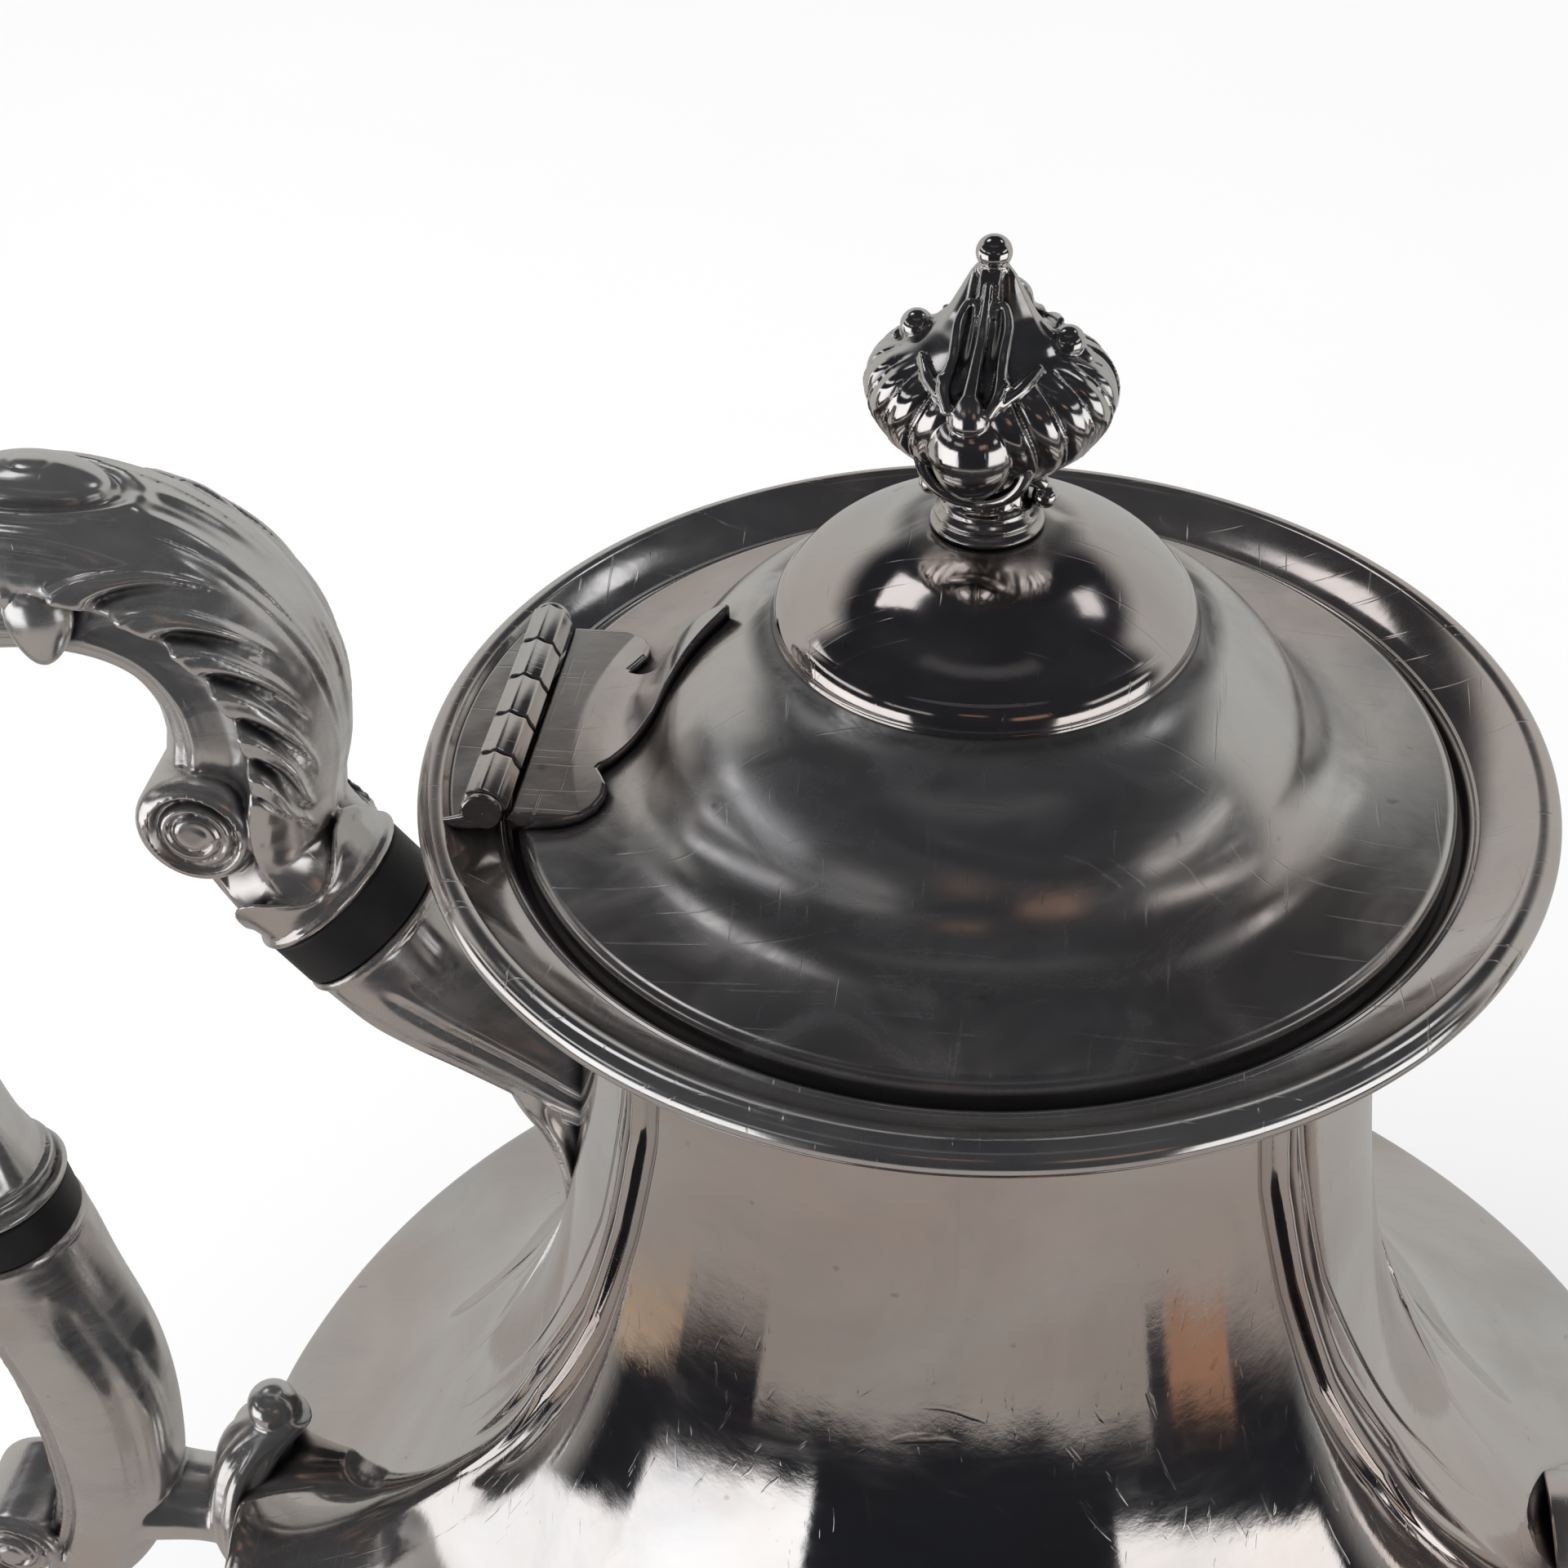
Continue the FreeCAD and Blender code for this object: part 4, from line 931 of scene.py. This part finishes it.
# ---------------------------------------------------------------- materials
class Nodes:
    """Short way to write a node tree."""

    def __init__(self, tree):
        self.tree = tree
        tree.nodes.clear()

    def add(self, kind, **settings):
        node = self.tree.nodes.new(kind)
        for key, value in settings.items():
            if key in node.inputs:
                node.inputs[key].default_value = value
            else:
                setattr(node, key, value)
        return node

    def link(self, source, target):
        self.tree.links.new(source, target)

    def put(self, value, socket):
        if isinstance(value, bpy.types.NodeSocket):
            self.link(value, socket)
        else:
            socket.default_value = value

    def math(self, operation, a, b=0.0, clamp=False):
        node = self.add("ShaderNodeMath", operation=operation, use_clamp=clamp)
        self.put(a, node.inputs[0])
        self.put(b, node.inputs[1])
        return node.outputs[0]

    def times(self, a, b, clamp=False):
        return self.math("MULTIPLY", a, b, clamp)

    def plus(self, a, b, clamp=False):
        return self.math("ADD", a, b, clamp)

    def less(self, a, b, clamp=False):
        return self.math("SUBTRACT", a, b, clamp)

    def step(self, low, high, value):
        node = self.add("ShaderNodeMapRange", interpolation_type="SMOOTHSTEP")
        self.put(value, node.inputs[0])
        node.inputs[1].default_value = low
        node.inputs[2].default_value = high
        return node.outputs[0]

    def band(self, low, high, soft, value):
        """1 between low and high, soft at both sides."""
        rise = self.step(low - soft, low + soft, value)
        fall = self.step(high - soft, high + soft, value)
        return self.times(rise, self.less(1.0, fall))

    def mix(self, factor, a, b):
        node = self.add("ShaderNodeMix", data_type="RGBA")
        self.put(factor, node.inputs[0])
        self.put(a, node.inputs[6])
        self.put(b, node.inputs[7])
        return node.outputs[2]

    def noise(self, vector, scale, detail=4.0, rough=0.55, twist=0.0):
        node = self.add("ShaderNodeTexNoise", Scale=scale, Detail=detail, Roughness=rough, Distortion=twist)
        self.link(vector, node.inputs["Vector"])
        return node.outputs[0]

    def scaled(self, vector, scale, turn=(0.0, 0.0, 0.0)):
        node = self.add("ShaderNodeMapping")
        node.inputs["Scale"].default_value = scale
        node.inputs["Rotation"].default_value = turn
        self.link(vector, node.inputs[0])
        return node.outputs[0]


def rgb(r, g, b):
    return (r, g, b, 1.0)


def new_skin(name, metallic):
    """Material with one skin shader: the material, its nodes, the skin and object coordinates."""
    material = bpy.data.materials.new(name)
    material.use_nodes = True
    n = Nodes(material.node_tree)
    skin = n.add("ShaderNodeBsdfPrincipled", Metallic=metallic)
    n.link(skin.outputs[0], n.add("ShaderNodeOutputMaterial").inputs[0])
    return material, n, skin, n.add("ShaderNodeTexCoord").outputs["Object"]


def roughen(n, skin, height, strength, depth):
    """Fine relief on a skin."""
    bump = n.add("ShaderNodeBump", Strength=strength, Distance=depth)
    n.link(height, bump.inputs["Height"])
    n.link(bump.outputs[0], skin.inputs["Normal"])


def silver(name, polish, haze, tarnish, hollow_shade, reach, scratch, shift, brushed=0.0, shade_rings=(), film=0.0):
    """Worn silver plate: cloudy tarnish, warm and blue tints, painted shade in the hollows and in bands at
    the joins, fine scratches.
    """
    material, n, skin, own = new_skin(name, 1.0)
    moved = n.add("ShaderNodeMapping", Location=(shift, 2 * shift, -shift))
    n.link(own, moved.inputs[0])
    place = moved.outputs[0]
    cloud = n.noise(place, 38.0, 5.0, 0.6, 0.8)
    smear = n.noise(n.scaled(place, (1.0, 1.0, 2.6)), 95.0, 6.0, 0.62, 1.2)
    fine = n.noise(place, 900.0, 3.0, 0.6)
    tint = n.noise(place, 22.0, 3.0, 0.5, 0.5)
    clean = n.mix(n.step(0.38, 0.62, tint), rgb(0.80, 0.79, 0.775), rgb(0.74, 0.665, 0.625))
    dull = n.mix(n.step(0.42, 0.66, smear), rgb(0.44, 0.40, 0.385), rgb(0.40, 0.41, 0.445))
    amount = n.times(n.step(0.36, 0.72, cloud), tarnish)
    colour = n.mix(amount, clean, dull)
    speck = n.times(n.step(0.70, 0.78, n.noise(place, 420.0, 2.0)), 0.35)
    colour = n.mix(speck, colour, rgb(0.20, 0.17, 0.15))
    # Painted shade: ambient occlusion picks out the hollows and creases. Their colour goes towards near
    # black and their roughness rises.
    hollow = n.add("ShaderNodeAmbientOcclusion", Distance=reach * MM, samples=6)
    hidden = n.less(1.0, n.step(0.45, 0.93, hollow.outputs["AO"]))
    dark = n.times(hidden, hollow_shade, True)
    # Painted shade: dark bands at given radii from the axis, made patchy by the smear noise, where parts
    # meet and under the finial.
    if shade_rings:
        parts = n.add("ShaderNodeSeparateXYZ")
        n.link(own, parts.inputs[0])
        flat = n.math("SQRT", n.plus(n.times(parts.outputs[0], parts.outputs[0]),
                                     n.times(parts.outputs[1], parts.outputs[1])))
        for low, high, soft, strength in shade_rings:
            ring_shade = n.times(n.band(low * MM, high * MM, soft * MM, flat), strength)
            ring_shade = n.times(ring_shade, n.step(0.30, 0.60, smear))
            dark = n.plus(dark, ring_shade, True)
    # Painted shade: the hollows and the bands at the joins are mixed towards near black.
    colour = n.mix(dark, colour, rgb(0.055, 0.052, 0.058))
    n.put(colour, skin.inputs["Base Color"])
    cover = n.times(n.plus(n.step(0.3, 0.8, cloud), 0.5), film)
    n.put(n.less(1.0, cover, True), skin.inputs["Metallic"])
    blur = n.times(n.step(0.35, 0.75, smear), haze)
    blur = n.plus(blur, n.times(amount, 0.12))
    blur = n.plus(blur, n.times(dark, 0.25))
    marks_a = n.noise(n.scaled(place, (60.0, 2600.0, 160.0), (0.4, 0.2, 0.7)), 1.0, 2.0, 0.5)
    marks_b = n.noise(n.scaled(place, (2300.0, 90.0, 260.0), (0.1, 0.9, -0.5)), 1.0, 2.0, 0.5)
    marks = n.plus(n.step(0.66, 0.72, marks_a), n.step(0.67, 0.73, marks_b), True)
    blur = n.plus(blur, n.times(marks, 0.12 * scratch))
    n.put(n.plus(blur, polish, True), skin.inputs["Roughness"])
    relief = n.plus(n.times(fine, 0.25), n.times(marks, -scratch))
    relief = n.plus(relief, n.times(n.noise(place, 160.0, 2.0), 0.6))
    if brushed:
        grain = n.noise(n.scaled(place, (40.0, 40.0, 3200.0)), 1.0, 2.0, 0.5)
        relief = n.plus(relief, n.times(grain, brushed))
    roughen(n, skin, relief, 0.22, 0.00008)
    return material


def insulator_black():
    """Matt black pressed fibre."""
    material, n, skin, place = new_skin("insulator_black_fibre", 0.0)
    cloud = n.noise(place, 220.0, 5.0, 0.6)
    n.put(n.mix(cloud, rgb(0.006, 0.006, 0.007), rgb(0.020, 0.018, 0.018)), skin.inputs["Base Color"])
    n.put(n.plus(n.times(cloud, 0.25), 0.32), skin.inputs["Roughness"])
    skin.inputs["Specular IOR Level"].default_value = 0.35
    roughen(n, skin, n.noise(n.scaled(place, (300.0, 300.0, 1500.0)), 1.0, 3.0), 0.3, 0.00012)
    return material


def dull_brass():
    """Old brass of the hidden fixings."""
    material, n, skin, place = new_skin("fixing_dull_brass", 1.0)
    cloud = n.noise(place, 240.0, 5.0, 0.6)
    n.put(n.mix(n.step(0.35, 0.7, cloud), rgb(0.58, 0.43, 0.20), rgb(0.26, 0.19, 0.10)),
          skin.inputs["Base Color"])
    n.put(n.plus(n.times(cloud, 0.3), 0.22), skin.inputs["Roughness"])
    roughen(n, skin, n.noise(place, 1500.0, 3.0), 0.3, 0.0001)
    return material


# ---------------------------------------------------------------- build the pieces
# Each look is the name of a material slot and the material in it.
BODY_SILVER = "polished_silver", silver("body_silver", 0.035, 0.045, 0.36, 0.75, 1.3, 0.22, 0.00)
RIM_SILVER = "polished_silver", silver("rim_silver", 0.08, 0.12, 0.30, 0.80, 1.6, 0.5, 0.31, film=0.03)
# The bell's bands are painted shade beside the crown's seam and where the cove meets the brim. The crown's
# band is painted shade round the finial's foot.
BELL_SILVER = "lid_silver", silver("bell_silver", 0.17, 0.10, 0.50, 0.55, 2.0, 0.30, 0.12, 0.05,
                     ((16.0, 17.6, 0.9, 0.75), (27.5, 29.5, 1.6, 0.25)))
CROWN_SILVER = "lid_silver", silver("crown_silver", 0.05, 0.07, 0.35, 0.60, 1.6, 0.25, 0.57, 0.0,
                      ((4.5, 6.6, 1.2, 0.7),))
CAST_SILVER = "cast_silver", silver("cast_silver", 0.13, 0.18, 0.45, 1.0, 1.7, 0.3, 0.83, film=0.07)
FINIAL_SILVER = "cast_silver", silver("finial_silver", 0.07, 0.12, 0.40, 1.0, 1.2, 0.25, 0.41)
HINGE_SILVER = "hinge_silver", silver("hinge_silver", 0.10, 0.14, 0.40, 1.0, 1.1, 0.4, 0.23)
BLACK = "black_insulator", insulator_black()
BRASS = "brass", dull_brass()


def place(obj, node, look, body="pot"):
    """Fits a finished piece into the frame in place of one CAD node."""
    slot, material = look
    obj.data.materials.clear()
    obj.data.materials.append(material)
    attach(obj, body)
    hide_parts(node)


CORE = body_core()
place(build_body(), "body_shell", BODY_SILVER)
place(build_rim(), "rim_collar", RIM_SILVER)
place(build_lid(), "lid_cover", BELL_SILVER, "lid")
place(build_crown(), "lid_crown", CROWN_SILVER, "lid")
place(build_finial(), "finial", FINIAL_SILVER, "lid")
place(build_pot_leaf(), "hinge_pot_leaf", HINGE_SILVER)
place(build_lid_leaf(), "hinge_lid_leaf", HINGE_SILVER, "lid")
place(build_pin(), "hinge_pin", HINGE_SILVER)
place(build_grip(), "handle_grip", CAST_SILVER)
place(build_socket(CORE), "upper_socket", CAST_SILVER)
place(build_bracket(CORE), "lower_bracket", CAST_SILVER)
place(build_insulator("insulator_ring_upper", UPPER), "upper_insulator", BLACK)
place(build_insulator("insulator_ring_lower", LOWER), "lower_insulator", BLACK)
place(build_spout(CORE), "spout", CAST_SILVER)
for foot, node in zip(build_feet(CORE), ("foot_back_right", "foot_back_left", "foot_front_left",
                                         "foot_front_right")):
    place(foot, node, CAST_SILVER)
bpy.data.objects.remove(CORE)

CARRIED = {"base_plate": BODY_SILVER, "lid_bezel": BELL_SILVER, "finial_stud": BRASS,
           "finial_washer": BRASS, "finial_nut": BRASS, "insulator_pins": CAST_SILVER}
for node, look in CARRIED.items():
    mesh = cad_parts[node].data
    mesh.materials.clear()
    mesh.materials.append(look[1])


# ---------------------------------------------------------------- floor, light and camera
def studio_floor():
    """Pale sweep that the silver does not mirror."""
    size = 1.6
    mesh = bpy.data.meshes.new("floor")
    mesh.from_pydata([(-size, -size, 0), (size, -size, 0), (size, size, 0), (-size, size, 0)], [],
                     [(0, 1, 2, 3)])
    floor = bpy.data.objects.new("studio_floor", mesh)
    bpy.context.scene.collection.objects.link(floor)
    floor.visible_glossy = False
    material = bpy.data.materials.new("studio_floor_paint")
    material.use_nodes = True
    n = Nodes(material.node_tree)
    paint = n.add("ShaderNodeBsdfDiffuse")
    spot = n.add("ShaderNodeNewGeometry").outputs["Position"]
    n.put(n.mix(n.noise(spot, 6.0, 3.0), rgb(0.92, 0.92, 0.92), rgb(0.95, 0.95, 0.95)), paint.inputs[0])
    n.link(paint.outputs[0], n.add("ShaderNodeOutputMaterial").inputs[0])
    floor.data.materials.append(material)


# What the silver mirrors, in degrees: turn from the front (right is positive; "both" means either
# side), then height over the horizon. Each is low and high edge, then softness and colour.
ROOM = (
    ("both", 100, 190, -52, 34, 7, (0.47, 0.465, 0.45)),
    ("both", 50, 190, -95, -46, 8, (0.34, 0.33, 0.32)),
    ("both", -1, 102, -95, -39.5, 1.6, (0.36, 0.325, 0.30)),
    ("both", -1, 52, -41, -36.6, 0.8, (0.34, 0.315, 0.295)),
    ("both", -1, 50, 55, 63, 3, (0.07, 0.07, 0.075)),
    ("one", -78, -33, -33.0, -4, 0.9, (1.25, 1.25, 1.27)),
    ("one", -105, -77, -28.5, -4, 1.2, (1.15, 1.15, 1.17)),
    ("one", 40, 92, -31.0, -4, 0.7, (1.20, 1.20, 1.20)),
    ("one", -100, -56, 10, 17, 1.2, (0.80, 0.80, 0.83)),
    ("one", -46, -22, 10, 15, 1.2, (0.40, 0.39, 0.38)),
    ("one", -8, 5, 20, 24, 1.2, (0.24, 0.15, 0.10)),
    ("one", 18, 36, 6, 14, 1.2, (0.30, 0.19, 0.14)),
    ("one", 58, 95, 10, 17, 1.2, (0.75, 0.74, 0.73)),
    ("one", -102, -78, -40.6, -38.4, 0.8, (0.46, 0.36, 0.27)),
    ("one", 58, 76, -40.6, -37.4, 0.8, (0.36, 0.21, 0.14)),
    ("one", 52, 57, -40.4, -35.5, 0.6, (0.03, 0.03, 0.035)),
    ("one", -140, -112, 50, 65, 1.0, (1.05, 1.05, 1.08)),
    ("one", 114, 134, 47, 55, 1.0, (0.95, 0.95, 0.97)),
)


def studio_world():
    """Pale to the eye and to the floor. The silver mirrors a dark room with windows and pale walls."""
    world = bpy.data.worlds.new("studio")
    bpy.context.scene.world = world
    world.use_nodes = True
    n = Nodes(world.node_tree)
    out = n.add("ShaderNodeOutputWorld")
    plain = n.add("ShaderNodeBackground", Strength=1.0)
    plain.inputs[0].default_value = rgb(0.97, 0.97, 0.97)
    room = n.add("ShaderNodeBackground", Strength=1.0)
    choose = n.add("ShaderNodeMixShader")
    n.link(n.add("ShaderNodeLightPath").outputs["Is Glossy Ray"], choose.inputs[0])
    n.link(plain.outputs[0], choose.inputs[1])
    n.link(room.outputs[0], choose.inputs[2])
    n.link(choose.outputs[0], out.inputs[0])
    way = n.add("ShaderNodeTexCoord").outputs["Generated"]
    parts = n.add("ShaderNodeSeparateXYZ")
    n.link(way, parts.inputs[0])
    x, y, z = parts.outputs
    wobble = n.times(n.less(n.noise(way, 3.0, 3.0), 0.5), 0.07)
    rise = n.plus(n.math("ARCSINE", z), wobble)
    turn = n.math("ARCTAN2", x, n.times(y, -1.0))
    wide = n.math("ABSOLUTE", turn)
    colour = n.mix(0.0, rgb(0.016, 0.017, 0.021), rgb(0, 0, 0))
    for sides, *numbers, tone in ROOM:
        left, right, low, high, soft = [math.radians(number) for number in numbers]
        across = n.band(left, right, soft, turn if sides == "one" else wide)
        over = n.band(low, high, soft, rise)
        colour = n.mix(n.times(across, over), colour, rgb(*tone))
    n.put(colour, room.inputs[0])


def lamp(name, location, target, size, watts):
    data = bpy.data.lights.new(name, "AREA")
    data.shape = "RECTANGLE"
    data.size, data.size_y = size
    data.energy = watts
    obj = bpy.data.objects.new(name, data)
    bpy.context.scene.collection.objects.link(obj)
    obj.location = location
    obj.rotation_euler = (Vector(target) - Vector(location)).to_track_quat("-Z", "Y").to_euler()
    obj.visible_glossy = False


def studio_camera():
    """Camera posed from the rim's own size and centre."""
    distance = 4.3807 * RIM_R * MM
    centre = Vector((0, 0, RIM_Z * MM))
    swing, lift, roll, pan, tilt = math.radians(3.0), 0.649, 0.0259, -0.0798, -0.0125
    back = Vector((math.sin(swing) * math.cos(lift), -math.cos(swing) * math.cos(lift), math.sin(lift)))
    right = Vector((math.cos(swing), math.sin(swing), 0))
    up = Vector((-math.sin(swing) * math.sin(lift), math.cos(swing) * math.sin(lift), math.cos(lift)))
    right_1 = right * math.cos(pan) + back * math.sin(pan)
    ahead_1 = right * math.sin(pan) - back * math.cos(pan)
    up_1 = up * math.cos(tilt) - ahead_1 * math.sin(tilt)
    ahead = up * math.sin(tilt) + ahead_1 * math.cos(tilt)
    right_2 = right_1 * math.cos(roll) + up_1 * math.sin(roll)
    up_2 = up_1 * math.cos(roll) - right_1 * math.sin(roll)
    data = bpy.data.cameras.new("studio_camera")
    data.sensor_width = 36.0
    data.lens = 56.25
    data.clip_start = 0.01
    camera = bpy.data.objects.new("studio_camera", data)
    bpy.context.scene.collection.objects.link(camera)
    turn = Matrix((right_2, up_2, -ahead)).transposed().to_4x4()
    camera.matrix_world = Matrix.Translation(centre + back * distance) @ turn
    bpy.context.scene.camera = camera


studio_floor()
studio_world()
lamp("key_light", (-0.5, -0.5, 0.9), (0, 0, 0.1), (0.6, 0.6), 3.0)
studio_camera()
bpy.context.scene.view_settings.view_transform = "Standard"
